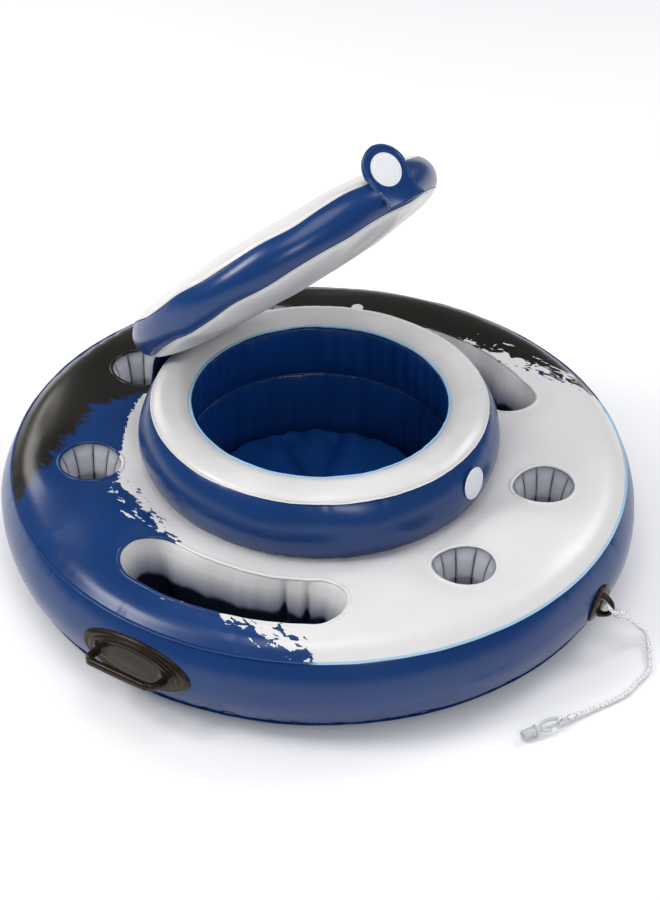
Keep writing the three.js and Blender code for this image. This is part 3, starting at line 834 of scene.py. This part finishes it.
def collar():
    theta = angles(900)
    radius, height, share = along_line(collar_side_line(), 44, theta)
    radius = radius - 0.9 * puckers(theta, 50, 0.02, 31) * np.exp(-share * 11)
    radius = radius - 1.5 * puckers(theta, 60, 0.022, 32) * np.exp(-(1 - share) * 9)
    radius = radius + 0.6 * np.sin(math.pi * share) * ripple(theta, 4, 12, 33)
    side = grid_object("collar_side", turned(radius, height, theta), blue_film, film=FILM)
    settle(side, "blue_film", "float", "collar_tube")

    crown = 8.0
    inner = PIPING_OUTER - 1.0
    middle = (COLLAR_SEAM + inner) / 2
    line = smooth_line(
        [(COLLAR_SEAM, COLLAR_TOP), (COLLAR_SEAM - 5, COLLAR_TOP + 3.6),
         (middle + 9, COLLAR_TOP + crown - 0.6), (middle - 8, COLLAR_TOP + crown),
         (inner + 5, COLLAR_TOP + 4.2), (inner, COLLAR_TOP + 0.4)]
    )
    radius, height, share = along_line(line, 40, theta)
    height = height - 0.6 * puckers(theta, 44, 0.02, 34) * at_ends(share, 9)
    height = height + 0.5 * np.sin(math.pi * share) * ripple(theta, 4, 14, 35)
    top = grid_object("collar_top", turned(radius, height, theta), white_film, film=FILM)
    settle(top, "white_film", "float", "collar_top_sheet")

    height = COLLAR_TOP - 0.2 + rim_sway(theta, 36)
    rim = weld_bead("collar_rim", COLLAR_SEAM + 0.8, height, theta, white_film, 3.6, 1.2)
    settle(rim, "white_film", "float")
    radius = PIPING_OUTER - 2.6 + 0.15 * ripple(theta, 20, 60, 37)
    height = COLLAR_TOP + 0.6 + 0.25 * ripple(theta, 5, 20, 38)
    piping = weld_bead("mouth_piping", radius, height, theta, sky_film, 3.2, 3.2, sides=14)
    settle(piping, "piping", "float", "well_edge_piping")


def well_wall(name, node, low, high, bulge, seed):
    """One band of the well's wall, between (radius, height) low and high, that bulges inwards."""
    theta = angles(720)
    share = rows_down(30, theta)
    radius = high[0] + (low[0] - high[0]) * share
    height = high[1] + (low[1] - high[1]) * share
    lobes = 1 + 0.16 * ripple(theta, 8, 20, seed) + 0.1 * ripple(theta, 24, 50, seed + 1)
    radius = radius - bulge * bowed(share, 0.8) * lobes
    welded = at_ends(share, 8) * np.sin(math.pi * np.clip(share, 0.03, 0.97)) ** 0.2
    radius = radius + 2.2 * puckers(theta, 70, 0.018, seed + 2) * welded
    wall = grid_object(name, turned(radius, height, theta), navy_film, film=THIN_FILM)
    settle(wall, "well_film", "float", node)


def well_walls():
    mouth = (PIPING_OUTER - 2.5, COLLAR_TOP - 2.5)
    weld = (WALL_RADIUS, WALL_WELD_Z)
    well_wall("wall_upper", "well_wall_upper", weld, mouth, 8.0, 51)
    well_wall("wall_lower", "well_wall_lower", (WALL_RADIUS + 2, 14.0), weld, 9.0, 55)
    theta = angles(720)
    height = WALL_WELD_Z + rim_sway(theta, 58)
    seam = weld_bead("wall_weld", WALL_RADIUS - 0.8, height, theta, navy_film, 2.6, 2.0)
    settle(seam, "well_film", "float")


def floor_cushion():
    """The well's floor: puffed film held down by radial welds round a central spot."""
    theta = angles(540)
    radius = FLOOR_RADIUS * (1 - rows_down(70, theta))
    slanted = theta * 5 + 0.5 * np.sin(theta * 2 + 0.7) + 0.35 * np.sin(theta * 3)
    spokes = np.abs(np.sin(slanted)) ** 0.6
    held = np.clip(radius / 60, 0, 1) * np.clip((FLOOR_RADIUS - radius) / 30, 0, 1) ** 0.6
    puff = 11.0 * (spokes - 1) * held
    gather = 1.2 * ripple(theta, 18, 40, 72) * np.clip(radius / FLOOR_RADIUS, 0, 1) ** 4
    crown = 5.0 * (1 - (radius / FLOOR_RADIUS) ** 8) + gather
    uneven = 0.5 * waves(radius * np.cos(theta), radius * np.sin(theta), 45, 71)
    height = FLOOR_TOP - 6.0 + crown + puff + uneven
    height = height - 14 * np.clip((radius - FLOOR_RADIUS + 8) / 8, 0, 1) ** 2
    points = turned(radius, height, theta)[:-1]
    floor = grid_object("floor_top", points, lit_floor_film, cap=True, film=THIN_FILM)
    settle(floor, "well_film", "float", "floor_cushion")


ring_top()
ring_skin()
ring_rims()
for number, cup in enumerate(CUPS, 1):
    cup_sleeve(number, cup)
for index, (name, well) in enumerate(WELLS.items()):
    storage_well(name, well, 80 + 10 * index)
collar()
well_walls()
floor_cushion()


# ------------------------------ the lid
HINGE = joint_mm("lid_hinge")
HINGE_AXIS = Vector(JOINTS["lid_hinge"]["axis"])
LID_OPEN = math.radians(-JOINTS["lid_hinge"]["range_deg"][0])
# The lid's own frame, turned up to where the lid rests: the hinge at its origin and +X towards the
# latch. Its second frame has the lid's middle at its origin.
LID_FRAME = moved(*HINGE) @ Matrix.Rotation(LID_OPEN, 4, HINGE_AXIS)
LID_CENTRE = -HINGE[0]
LID_MIDDLE = LID_FRAME @ moved(LID_CENTRE, 0, 0)
LID_SEAM = 217.0
LID_OUTER = 230.0
LID_LOW, LID_HIGH = -21.5, 26.0
LID_CROWN_TOP, LID_CROWN_BOTTOM = 20.0, 24.5


def lid_edge_sway(theta, seed):
    """The seams between the lid's blue band and its white sheets wander as they go round."""
    return 0.85 * ripple(theta, 7, 12, seed, 6) + 0.15 * ripple(theta, 16, 28, seed + 1)


def lid_sheet(name, node, edge_z, crown, theta, sway, seed):
    share = rows_down(60, theta)
    radius = LID_SEAM * (1 - share)
    arch = (1 - (1 - share) ** 2.6) ** 0.62
    edge = np.exp(-share * 11)
    x, y = radius * np.cos(theta), radius * np.sin(theta)
    height = edge_z + sway * (1 - share) ** 3 + crown * arch
    height = height - math.copysign(1.3, crown) * puckers(theta, 50, 0.03, seed) * edge
    height = height + 0.9 * waves(x, y, 110, seed + 1) * arch
    radius = radius - 0.5 * puckers(theta, 40, 0.03, seed + 2) * edge
    points = turned(radius, height, theta)[:-1]
    sheet = grid_object(name, points, white_film, cap=True, matrix=LID_MIDDLE, film=FILM)
    settle(sheet, "white_film", "lid", node)


def lid():
    theta = angles(900)
    high_sway, low_sway = lid_edge_sway(theta, 91), lid_edge_sway(theta, 93)
    share = rows_down(40, theta)
    low, high = LID_LOW + low_sway, LID_HIGH + high_sway
    height = high + (low - high) * share
    bow = bowed(share, 0.8)
    radius = LID_SEAM + (LID_OUTER - LID_SEAM) * bow + 0.7 * bow * ripple(theta, 4, 12, 96)
    radius = radius - 0.8 * puckers(theta, 50, 0.02, 95) * at_ends(share, 9)
    points = turned(radius, height, theta)
    band = grid_object("lid_band", points, blue_film, matrix=LID_MIDDLE, film=FILM)
    settle(band, "blue_film", "lid", "lid_tube")
    lid_sheet("lid_top", "lid_top_sheet", LID_HIGH, LID_CROWN_TOP, theta, high_sway, 101)
    lid_sheet("lid_bottom", "lid_bottom_sheet", LID_LOW, -LID_CROWN_BOTTOM, theta, low_sway, 105)
    for name, edge in (("lid_rim_top", high), ("lid_rim_low", low)):
        rim = weld_bead(name, LID_SEAM + 1.0, edge, theta, white_film, 3.8, 1.6, matrix=LID_MIDDLE)
        settle(rim, "white_film", "lid")


def hinge_web():
    """The film hinge: a broad strip welded to the collar and to the lid's back edge."""
    width = np.linspace(-74, 74, 90)
    low, high = box_mm("hinge_flap_collar")
    foot = [
        np.array([-COLLAR_OUTER - 1.2, 0, low[2] - 2]),
        np.array([-COLLAR_OUTER - 0.4, 0, (low[2] + high[2]) / 2]),
    ]
    on_lid = []
    for height in (-8.0, 2.0, 13.0):
        at_back = Vector((LID_CENTRE - LID_OUTER - 1.4, 0, height)) * MM
        on_lid.append(np.array(LID_FRAME @ at_back) / MM)
    slack_line = [foot[1] + np.array([1.5, 0, 16.0]), HINGE + np.array([-9.0, 0, -22.0])]
    line = resample(smooth_line([*foot, *slack_line, *on_lid]), 44)
    rows = []
    for share, point in zip(np.linspace(0, 1, len(line)), line):
        slack = math.sin(math.pi * share)
        gather = 0.9 * np.sin(width / 7.0 + 2 * share) * slack
        gather = gather + 0.5 * waves(width, 0 * width + 40 * share, 18, 111)
        hug = width**2 / (2 * WEB_CURVE)
        narrow = width * (1 - 0.05 * slack)
        rows.append(np.column_stack([point[0] + hug + gather, narrow, point[2] + 0 * width]))
    web = grid_object("hinge_web", np.stack(rows), blue_film, wrap=False, film=0.9)
    start = foot[1] + np.array([0, 0, 8.0])
    nodes = ("hinge_flap_collar", "hinge_flap_lid")
    settle_bent(web, "blue_film", ("float", "lid"), start, on_lid[0], *nodes)


# The strap in the lid's frame: how far out it hangs, where its root is, and above the root the
# heights of its neck and of its round head's middle. Then the head's radius and turn.
STRAP_PLANE = LID_CENTRE + LID_OUTER + 3.0
STRAP_ROOT = -19.5
STRAP_NECK = 24.0
STRAP_HEAD_Z = 47.0
STRAP_HEAD = 34.0
STRAP_TURN = math.radians(14)
# The radius that the strap curves to at its root.
STRAP_CURVE = 232.0


def strap_half_width(z):
    """Half the strap's width at a height above its root: a broad weld, a waist, a round head."""
    if z >= STRAP_HEAD_Z:
        return math.sqrt(max(STRAP_HEAD**2 - (z - STRAP_HEAD_Z) ** 2, 0.0))
    waist = 30.0 + 4.0 * max(0.0, (z - 14) / 40) ** 1.5
    return waist + 10.0 * math.exp(-((z / 8.0) ** 1.4))


def strap_lean(z):
    """How far the strap has wandered sideways and turned at a height above its root."""
    climb = np.clip((z - 2) / 22, 0, 1)
    return 3.0 - 8.0 * climb, -STRAP_TURN * climb


def latch_strap():
    """One film piece that bends at its root and again at its neck, with a raised edge all round."""
    head = STRAP_HEAD_Z + STRAP_HEAD * np.sin(np.linspace(0.03, math.pi / 2, 30))
    across = np.sin(np.linspace(-math.pi / 2, math.pi / 2, 60))
    rows = []
    for z in np.concatenate([np.linspace(0, STRAP_HEAD_Z, 44), head]):
        half = strap_half_width(z)
        width = across * half
        from_edge = half - np.abs(width)
        if z > STRAP_HEAD_Z:
            from_edge = STRAP_HEAD - np.hypot(width, z - STRAP_HEAD_Z)
        raised = 1.6 * np.exp(-(((from_edge - 2.6) / 1.5) ** 2))
        lean = 0.4 * np.sin(z / 17.0) + 0.2 * waves(width, z + 0 * width, 30, 121)
        curve = -(width**2) / (2 * STRAP_CURVE) * math.exp(-z / 30)
        shift, turn = strap_lean(z)
        out = STRAP_PLANE + curve + lean + raised - width * math.sin(turn)
        aside = width * math.cos(turn) + shift
        rows.append(np.column_stack([out, aside, STRAP_ROOT + z + 0 * width]))
    points = np.stack(rows)
    strap = grid_object("latch_strap", points, blue_film, wrap=False, matrix=LID_FRAME, film=1.3)
    neck = [Vector((STRAP_PLANE, 0, STRAP_ROOT + STRAP_NECK + by)) * MM for by in (-6, 6)]
    start, end = (LID_FRAME @ point / MM for point in neck)
    nodes = ("latch_strap_root", "latch_strap_tip")
    settle_bent(strap, "blue_film", ("latch_root", "latch_tip"), start, end, *nodes)


DISC_PROFILE = (
    (1.0, -0.4), (1.01, 0.5), (0.985, 1.1), (0.94, 0.9), (0.9, 0.5), (0.86, 1.0), (0.7, 1.25),
    (0.4, 1.4), (0.1, 1.4),
)


def disc(name, node, matrix, radius_y, radius_z, body):
    """A fastening disc facing along its own +X, with a stitched-down rim and a soft pile."""
    theta = angles(120)
    rows = []
    for share, lift in DISC_PROFILE:
        y, z = radius_y * share * np.cos(theta), radius_z * share * np.sin(theta)
        rows.append(np.column_stack([lift + 0 * theta, y, z]))
    patch = grid_object(name, np.stack(rows), pile, cap=True, matrix=matrix)
    settle(patch, "patch_pile", body, node)


def fastening_discs():
    size = box_mm("latch_patch_strap")
    half = (size[1][1] - size[0][1]) / 2
    shift, turn = strap_lean(STRAP_HEAD_Z)
    at_head = moved(STRAP_PLANE + 1.0, shift, STRAP_ROOT + STRAP_HEAD_Z)
    on_strap = LID_FRAME @ at_head @ Matrix.Rotation(turn, 4, "Z")
    disc("strap_disc", "latch_patch_strap", on_strap, half, half, "latch_tip")
    low, high = box_mm("latch_patch_collar")
    middle = moved(high[0] - 1.0, 0, (low[2] + high[2]) / 2)
    on_collar = middle @ Matrix.Rotation(math.radians(-8), 4, "Y")
    disc("collar_disc", "latch_patch_collar", on_collar, half, (high[2] - low[2]) / 2, "float")


# ------------------------------ handles
HANDLE_Z = joint_mm("grip_right_bend")[2]
# Half the flange's length and height, half the grip's length, and how far the grips stand from
# level, one up and one down.
HANDLE_HALF = (84.0, 34.0)
GRIP_HALF = 52.0
HANDLE_RISE = math.radians(17)


def handle_angle(name):
    x, y = joint_mm(f"grip_{name}_bend")[:2]
    return math.atan2(y, x)


def handle_base(name):
    """An oval flange with raised rings that hugs the side wall, dished behind the grip."""
    middle = handle_angle(name)
    turn = angles(200)
    rows = []
    for share in np.concatenate([[1.0, 1.005, 0.995], np.linspace(0.975, 0.02, 54)]):
        lift = 3.4
        for ring_at, ring_high in ((0.92, 1.1), (0.80, 1.5), (0.69, 1.2)):
            lift += ring_high * math.exp(-(((share - ring_at) / 0.03) ** 2))
        lift -= 1.6 * math.exp(-((share / 0.5) ** 6))
        lift = min(lift, 0.3 + 60 * max(1.003 - share, 0) ** 0.7)
        u, v = HANDLE_HALF[0] * share * np.cos(turn), HANDLE_HALF[1] * share * np.sin(turn)
        for sign in (-1, 1):
            boss = ((u - sign * GRIP_HALF) / 8.5) ** 4 + (v / 8.5) ** 4
            lift = lift + 4.0 * np.exp(-boss)
        z = HANDLE_Z + v
        reach = side_radius(z) + lift
        spin = middle + u / RING_OUTER
        rows.append(np.column_stack([reach * np.cos(spin), reach * np.sin(spin), z]))
    points = np.stack(rows)
    base = grid_object(f"handle_plate_{name}", points, black_moulding, cap=True, film=0.8)
    settle(base, "black_moulding", "float", f"handle_base_{name}")


def handle_grip(name):
    """The flat loop of the grip, rooted in the plate's two bosses."""
    pivot = joint_mm(f"grip_{name}_bend")
    place = moved(*pivot) @ Matrix.Rotation(handle_angle(name) + math.pi / 2, 4, "Z")
    half, reach, corner = GRIP_HALF, 23.0, 15.0
    corners = [(half, corner - reach)]
    for t in np.linspace(0, -math.pi / 2, 9)[1:]:
        bend = (half - corner + corner * math.cos(t), corner - reach + corner * math.sin(t))
        corners.append(bend)
    rise = HANDLE_RISE if name == "right" else -HANDLE_RISE
    raised = [(x, y * math.cos(rise), -y * math.sin(rise)) for x, y in corners]
    side = [(half, 9.0, -1.0), (half, 3.0, 0.0)] + raised
    path = side + [(-x, y, z) for x, y, z in side[::-1]]
    path = resample(smooth_line(path, 6), 120)
    share = np.abs(np.linspace(-1, 1, len(path)))
    radius = 5.0 + 0.6 * np.exp(-(((share - 1) / 0.1) ** 2)) + 0.3 * np.exp(-((share / 0.3) ** 4))
    grid = tube_points(path, radius, 24, boxy=0.55)
    grip = merged(f"handle_loop_{name}", [grid], black_moulding, place)
    outward = np.array([pivot[0], pivot[1], 0.0]) / math.hypot(pivot[0], pivot[1])
    bodies = ("float", f"grip_{name}")
    start, end = pivot - outward * 6.0, pivot + outward * 3.0
    settle_bent(grip, "black_moulding", bodies, start, end, f"handle_grip_{name}")


# ------------------------------ tow eye, rope and connector
ROPE_BENDS = [joint_mm(f"rope_bend_{i}") for i in range(1, 6)] + [joint_mm("hook_swing")]
EYE_FLANGE = 27.0


def tow_eye():
    """A round plate on the side wall, and an upright loop that stands out from it."""
    low, high = box_mm("tow_eye")
    middle_z = (low[2] + high[2]) / 2
    place = Matrix.Rotation(math.atan2(ROPE_BENDS[0][1], ROPE_BENDS[0][0]), 4, "Z")
    turn = angles(120)
    rows = []
    for share in np.concatenate([[1.0, 1.01], np.linspace(0.97, 0.03, 30)]):
        lift = min(0.2 + 12 * max(1.01 - share, 0) ** 0.6, 3.0)
        lift += 0.9 * math.exp(-(((share - 0.78) / 0.05) ** 2))
        lift += 1.6 * math.exp(-((share / 0.34) ** 4))
        u, v = EYE_FLANGE * share * np.cos(turn), EYE_FLANGE * share * np.sin(turn)
        z = middle_z + v
        reach = side_radius(z) + lift
        spin = u / RING_OUTER
        rows.append(np.column_stack([reach * np.cos(spin), reach * np.sin(spin), z]))
    points = np.stack(rows)
    plate = grid_object("tow_plate", points, black_moulding, cap=True, matrix=place, film=0.8)
    settle(plate, "black_moulding", "float", "tow_eye")
    turn = np.linspace(-math.pi / 2, math.pi / 2, 60)
    out = RING_OUTER + (math.hypot(*ROPE_BENDS[0][:2]) - RING_OUTER) * np.cos(turn)
    path = np.column_stack([out, 0 * turn, middle_z + 16.4 * np.sin(turn)])
    thick = 3.6 + 1.6 * np.exp(-(((np.abs(turn) - math.pi / 2) / 0.3) ** 2))
    loop = merged("tow_loop", [tube_points(path, thick, 18)], black_moulding, place)
    settle(loop, "black_moulding", "float")


ROPE_RADIUS = 3.0
# The connector's frame: its pivot on the cord at the origin and +X towards its barrel.
CONNECTOR_AT = joint_mm("hook_swing")
CONNECTOR_AXIS = np.array(JOINTS["barrel_turn"]["axis"])
CONNECTOR_TURN = math.atan2(CONNECTOR_AXIS[1], CONNECTOR_AXIS[0])
CONNECTOR_FRAME = moved(*CONNECTOR_AT) @ Matrix.Rotation(CONNECTOR_TURN, 4, "Z")


def rope():
    """A twisted cord in lengths that each bend at one joint and meet midway between joints.

    Returns the cord's direction at its first and its last length.
    """
    points = ROPE_BENDS
    knots = [points[0] + (points[1] - points[0]) * 0.22, points[0] + (points[1] - points[0]) * 0.55]
    knots += [(points[i] + points[i + 1]) / 2 for i in range(1, 5)]
    first, last = unit(points[1] - points[0]), unit(points[5] - points[4])
    curve = [points[0] + first * 13, knots[1]]
    for i in range(1, 5):
        sharp = 0.9 if i == 2 else 0.76
        bent = points[i] * sharp + (knots[i] + knots[i + 1]) * (1 - sharp) / 2
        curve += [bent, knots[i + 1]]
    curve.append(points[5] - last * 9)
    line = smooth_line(curve, 16)
    line[:, 2] = np.maximum(line[:, 2], ROPE_RADIUS + 0.4)
    cuts = [0] + [int(np.argmin(np.linalg.norm(line - knot, axis=1))) for knot in knots[1:]]
    steps = np.linalg.norm(np.diff(line, axis=0), axis=1)
    along = np.concatenate([[0], np.cumsum(steps)])
    dense = resample(line, int(along[-1] / 1.1))
    dense_along = np.linspace(0, along[-1], len(dense))
    strands = twisted(dense, ROPE_RADIUS, 17.0)
    limits = [np.searchsorted(dense_along, along[cut]) for cut in cuts] + [len(dense) - 1]
    for i in range(6):
        part = [grid[limits[i] : limits[i + 1] + 1] for grid in strands]
        length = merged(f"rope_length_{i + 1}", part, fibre)
        if i == 0:
            settle(length, "rope", "rope_1", "rope_link_1")
        elif i == 5:
            settle(length, "rope", "rope_5")
        else:
            start, end = dense[limits[i]], dense[limits[i + 1]]
            bodies = (f"rope_{i}", f"rope_{i + 1}")
            settle_bent(length, "rope", bodies, start, end, f"rope_link_{i + 1}")
    return first, last


def coil(centre, ahead, across, radius, turns, count):
    """A helix 9 mm long about the direction ahead."""
    turn = np.linspace(0, turns * TAU, count)
    round_it = np.outer(np.cos(turn), across) + np.outer(np.sin(turn), np.cross(across, ahead))
    return centre + round_it * radius + np.outer((turn / turn[-1] - 0.5) * 9.0, ahead)


def rope_ends(first, last):
    """The loop and knot at the tow eye, and the loop and whipping at the connector."""
    eye = ROPE_BENDS[0]
    turn = angles(90)
    across = unit(np.cross(first, [0, 0, 1.0]))
    lean = np.cross(across, first)
    ring = eye + np.outer(np.cos(turn), first) * 9.5 + np.outer(np.sin(turn), across) * 8.0
    wrap = coil(eye + first * 14.5, first, across, 4.6, 3.2, 120)
    tail_end = wrap[-1] + lean * 6 - first * 1 + across * 4
    tail = smooth_line([wrap[-1], wrap[-1] + lean * 3 + first * 3, tail_end], 8)
    grids = twisted(ring, 2.7, 13.0, closed=True) + twisted(wrap, 2.4, 12.0)
    knot = merged("rope_hitch", grids + twisted(tail, 2.2, 10.0), fibre)
    settle(knot, "rope", "rope_1", "rope_knot")
    turn = angles(60)
    loop = np.column_stack([6.2 * np.cos(turn), 0 * turn, 6.2 * np.sin(turn)])
    grids = twisted(loop, 1.9, 8.0, closed=True, sides=6)
    end_loop = merged("rope_eyelet", grids, fibre, CONNECTOR_FRAME)
    settle(end_loop, "rope", "rope_5", "rope_end_loop")
    side = unit(np.cross(last, [0, 0, 1.0]))
    whipping = coil(ROPE_BENDS[5] - last * 15.0, last, side, 3.5, 5, 150)
    bound = merged("rope_whipping", [tube_points(whipping, 1.05, 8)], fibre)
    settle(bound, "rope", "rope_5")


def lathe_x(profile, sides=40):
    """Points of a profile of (x, radius) turned about the X axis."""
    turn = angles(sides)
    ones = np.ones_like(turn)
    rows = [np.column_stack([x * ones, r * np.cos(turn), r * np.sin(turn)]) for x, r in profile]
    return np.stack(rows)


HOOK_STEM = (
    (33.0, 3.0), (34.5, 3.9), (37.4, 3.9), (38.0, 5.0), (38.2, 7.4), (38.7, 8.0), (40.2, 8.0),
    (40.9, 7.4), (41.0, 4.4), (41.5, 4.0), (46.6, 4.0), (47.2, 3.4),
)
# The barrel: how far from the pivot it starts, and its profile of (x, radius) from there.
BARREL_AT = 41.8
BARREL = [(0, 4.7), (0, 6.0), (0.6, 6.5), (3.0, 6.5), (3.6, 5.9), (4.2, 6.5)]
BARREL += [(4.6 + 0.5 * i, 6.5) for i in range(25)]
BARREL += [(17.2, 6.2), (17.6, 5.6), (17.6, 4.7), (12.0, 4.6), (2.0, 4.6)]


def connector():
    """An oval hook with a gap in one side, the gate that closes the gap and the slotted barrel."""
    centre, half_length, half_width, bar = 16.0, 18.0, 10.5, 4.0
    turn = np.linspace(0, TAU, 141)
    x = centre + (half_length - bar / 2) * np.cos(turn)
    y = (half_width - bar / 2) * np.sin(turn)
    gap = np.flatnonzero((y > 0) & (np.abs(x - centre) < 4.4))
    path = np.column_stack([x, y, 0 * turn])
    leaf = np.vstack([path[gap[-1] + 1 : -1], path[: gap[0]]])
    thick = np.full(len(leaf), 2.1)
    thick[:2] = thick[-2:] = 1.8
    parts = [tube_points(leaf, thick, 16, flat=1.4), lathe_x(HOOK_STEM)]
    hook = merged("connector_hook", parts, plastic, CONNECTOR_FRAME)
    settle(hook, "clear_plastic", "hook", "hook_body")

    pivot = Vector(joint_mm("gate_press")) * MM
    local = np.array(CONNECTOR_FRAME.inverted() @ pivot) / MM
    along = np.linspace(0.8, -10.4, 24)
    path = np.column_stack([local[0] + along, local[1] + 0.5 * np.sin(along / 4), 0 * along])
    thick = 1.15 + 0.35 * np.exp(-((along / 2.0) ** 2))
    part = tube_points(path, thick, 14, flat=1.9)
    gate = merged("connector_gate", [part], plastic, CONNECTOR_FRAME)
    settle(gate, "clear_plastic", "gate", "hook_gate")

    sides = angles(72)
    rows = []
    for at, radius in BARREL:
        slot = (np.abs(np.sin(sides)) < 0.24) & (5.0 < at < 11.4) & (radius > 5.8)
        knurl = 0.22 * np.cos(18 * sides) * (12.2 < at < 16.6)
        r = np.where(slot, 4.9, radius + knurl)
        x = BARREL_AT + at + 0 * sides
        rows.append(np.column_stack([x, r * np.cos(sides), r * np.sin(sides)]))
    barrel = grid_object("connector_barrel", np.stack(rows), plastic, matrix=CONNECTOR_FRAME)
    settle(barrel, "clear_plastic", "barrel", "hook_barrel")


# ------------------------------ valves
# Profiles of (radius, height) from the flange's middle: the valve's seat and its plug.
VALVE_SEAT = np.array(
    [(14.0, -0.2), (14.2, 0.6), (13.6, 1.2), (12.0, 1.2), (11.6, 0.9), (10.4, 0.9), (9.8, 1.5),
     (7.0, 1.5), (6.2, 1.1), (6.05, -7.4), (7.9, -7.6), (8.0, -1.0), (13.4, -0.3), (14.0, -0.2)]
)
VALVE_CAP = np.array(
    [(5.6, -5.0), (5.7, 1.0), (5.9, 1.7), (8.4, 1.7), (9.0, 2.2), (9.0, 3.6), (8.4, 4.2),
     (6.0, 4.2), (5.2, 3.6), (2.0, 3.6), (0.6, 3.6)]
)


def valve_frame(name, axis):
    """A frame whose +Z is the way the valve's plug pulls, at the middle of its flange."""
    low, high = box_mm(f"{name}_valve_base")
    plug_low, plug_high = box_mm(f"{name}_valve_plug")
    middle = (low + high) / 2
    tip = ((plug_low + plug_high) / 2 - middle).dot(np.array(axis))
    centre = middle + np.array(axis) * (tip + 0.5)
    turn = Vector((0, 0, 1)).rotation_difference(Vector(axis)).to_matrix().to_4x4()
    return moved(*centre) @ turn


def valve(name, body, plug_body):
    place = valve_frame(name, JOINTS[f"{name}_plug_pull"]["axis"])
    theta = angles(72)
    points = turned(VALVE_SEAT[:, :1], VALVE_SEAT[:, 1:], theta)
    seat = grid_object(f"{name}_valve_seat", points, plastic, matrix=place)
    settle(seat, "clear_plastic", body, f"{name}_valve_base")
    radius, height = VALVE_CAP[:, :1], VALVE_CAP[:, 1:]
    radius = radius + 0.3 * np.cos(24 * theta) * (radius > 8.6)
    points = turned(radius, height + 0 * theta, theta)
    plug = grid_object(f"{name}_valve_cap", points, plastic, cap=True, matrix=place)
    settle(plug, "clear_plastic", plug_body, f"{name}_valve_plug")


lid()
hinge_web()
latch_strap()
fastening_discs()
for name in ("right", "left"):
    handle_base(name)
    handle_grip(name)
tow_eye()
rope_ends(*rope())
connector()
for name, body in (("ring", "float"), ("collar", "float"), ("floor", "float"), ("lid", "lid")):
    valve(name, body, f"{name}_plug")


# ------------------------------ floor, light and camera
def floor_material():
    shader = Shader("studio_floor")
    shader.set(Base_Color=(0.93, 0.93, 0.94, 1), Roughness=0.55)
    return shader.material


def studio():
    bpy.ops.mesh.primitive_plane_add(size=14, location=(0, 0, -0.0006))
    ground = bpy.context.object
    ground.name = "studio_floor"
    ground.data.materials.append(floor_material())
    world = bpy.data.worlds.new("studio")
    bpy.context.scene.world = world
    world.use_nodes = True
    back = world.node_tree.nodes["Background"]
    back.inputs["Color"].default_value = (0.97, 0.98, 1.0, 1)
    rays = world.node_tree.nodes.new("ShaderNodeLightPath")
    dimmed = world.node_tree.nodes.new("ShaderNodeMapRange")
    dimmed.inputs["To Min"].default_value = 0.62
    dimmed.inputs["To Max"].default_value = 0.1
    world.node_tree.links.new(rays.outputs["Is Glossy Ray"], dimmed.inputs["Value"])
    world.node_tree.links.new(dimmed.outputs["Result"], back.inputs["Strength"])
    bpy.context.scene.view_settings.view_transform = "Standard"
    lamps = (
        ("key", (-1.5, -1.5, 2.3), 0.9, 34, (1.0, 0.98, 0.96)),
        ("fill", (2.0, -1.6, 1.9), 0.8, 13, (0.95, 0.96, 1.0)),
        ("rear", (0.9, 2.2, 2.2), 1.0, 20, (1.0, 1.0, 1.0)),
        ("left", (-2.2, 0.5, 1.2), 0.8, 9, (0.98, 0.94, 0.9)),
        ("top", (0.2, -0.3, 2.8), 1.4, 16, (1.0, 1.0, 1.0)),
    )
    for name, place, size, watts, colour in lamps:
        data = bpy.data.lights.new(name, "AREA")
        data.size = size
        data.energy = watts
        data.color = colour
        lamp = bpy.data.objects.new(name, data)
        lamp.location = place
        towards = Vector((0, 0, 0.1)) - Vector(place)
        lamp.rotation_euler = towards.to_track_quat("-Z", "Y").to_euler()
        bpy.context.scene.collection.objects.link(lamp)


def camera():
    """The photograph's viewpoint: bearing, height and roll in degrees, distance in metres."""
    azimuth, elevation, roll = math.radians(34.4), math.radians(37.3), math.radians(0.9)
    distance, target = 2.822, Vector((0, 0, 0.123))
    level = Vector((math.cos(azimuth), math.sin(azimuth), 0))
    outward = Vector((math.sin(azimuth), -math.cos(azimuth), 0))
    back = outward * math.cos(elevation) + Vector((0, 0, math.sin(elevation)))
    upright = back.cross(level)
    right = level * math.cos(roll) + upright * math.sin(roll)
    up = upright * math.cos(roll) - level * math.sin(roll)
    data = bpy.data.cameras.new("camera")
    data.sensor_fit = "VERTICAL"
    data.sensor_height = 36
    data.lens = 80.56
    data.shift_x, data.shift_y = 0.0121, 0.0040
    holder = bpy.data.objects.new("camera", data)
    bpy.context.scene.collection.objects.link(holder)
    turn = Matrix((right, up, back)).transposed().to_4x4()
    holder.matrix_world = Matrix.Translation(target + back * distance) @ turn
    bpy.context.scene.camera = holder


studio()
camera()
bpy.context.view_layer.update()
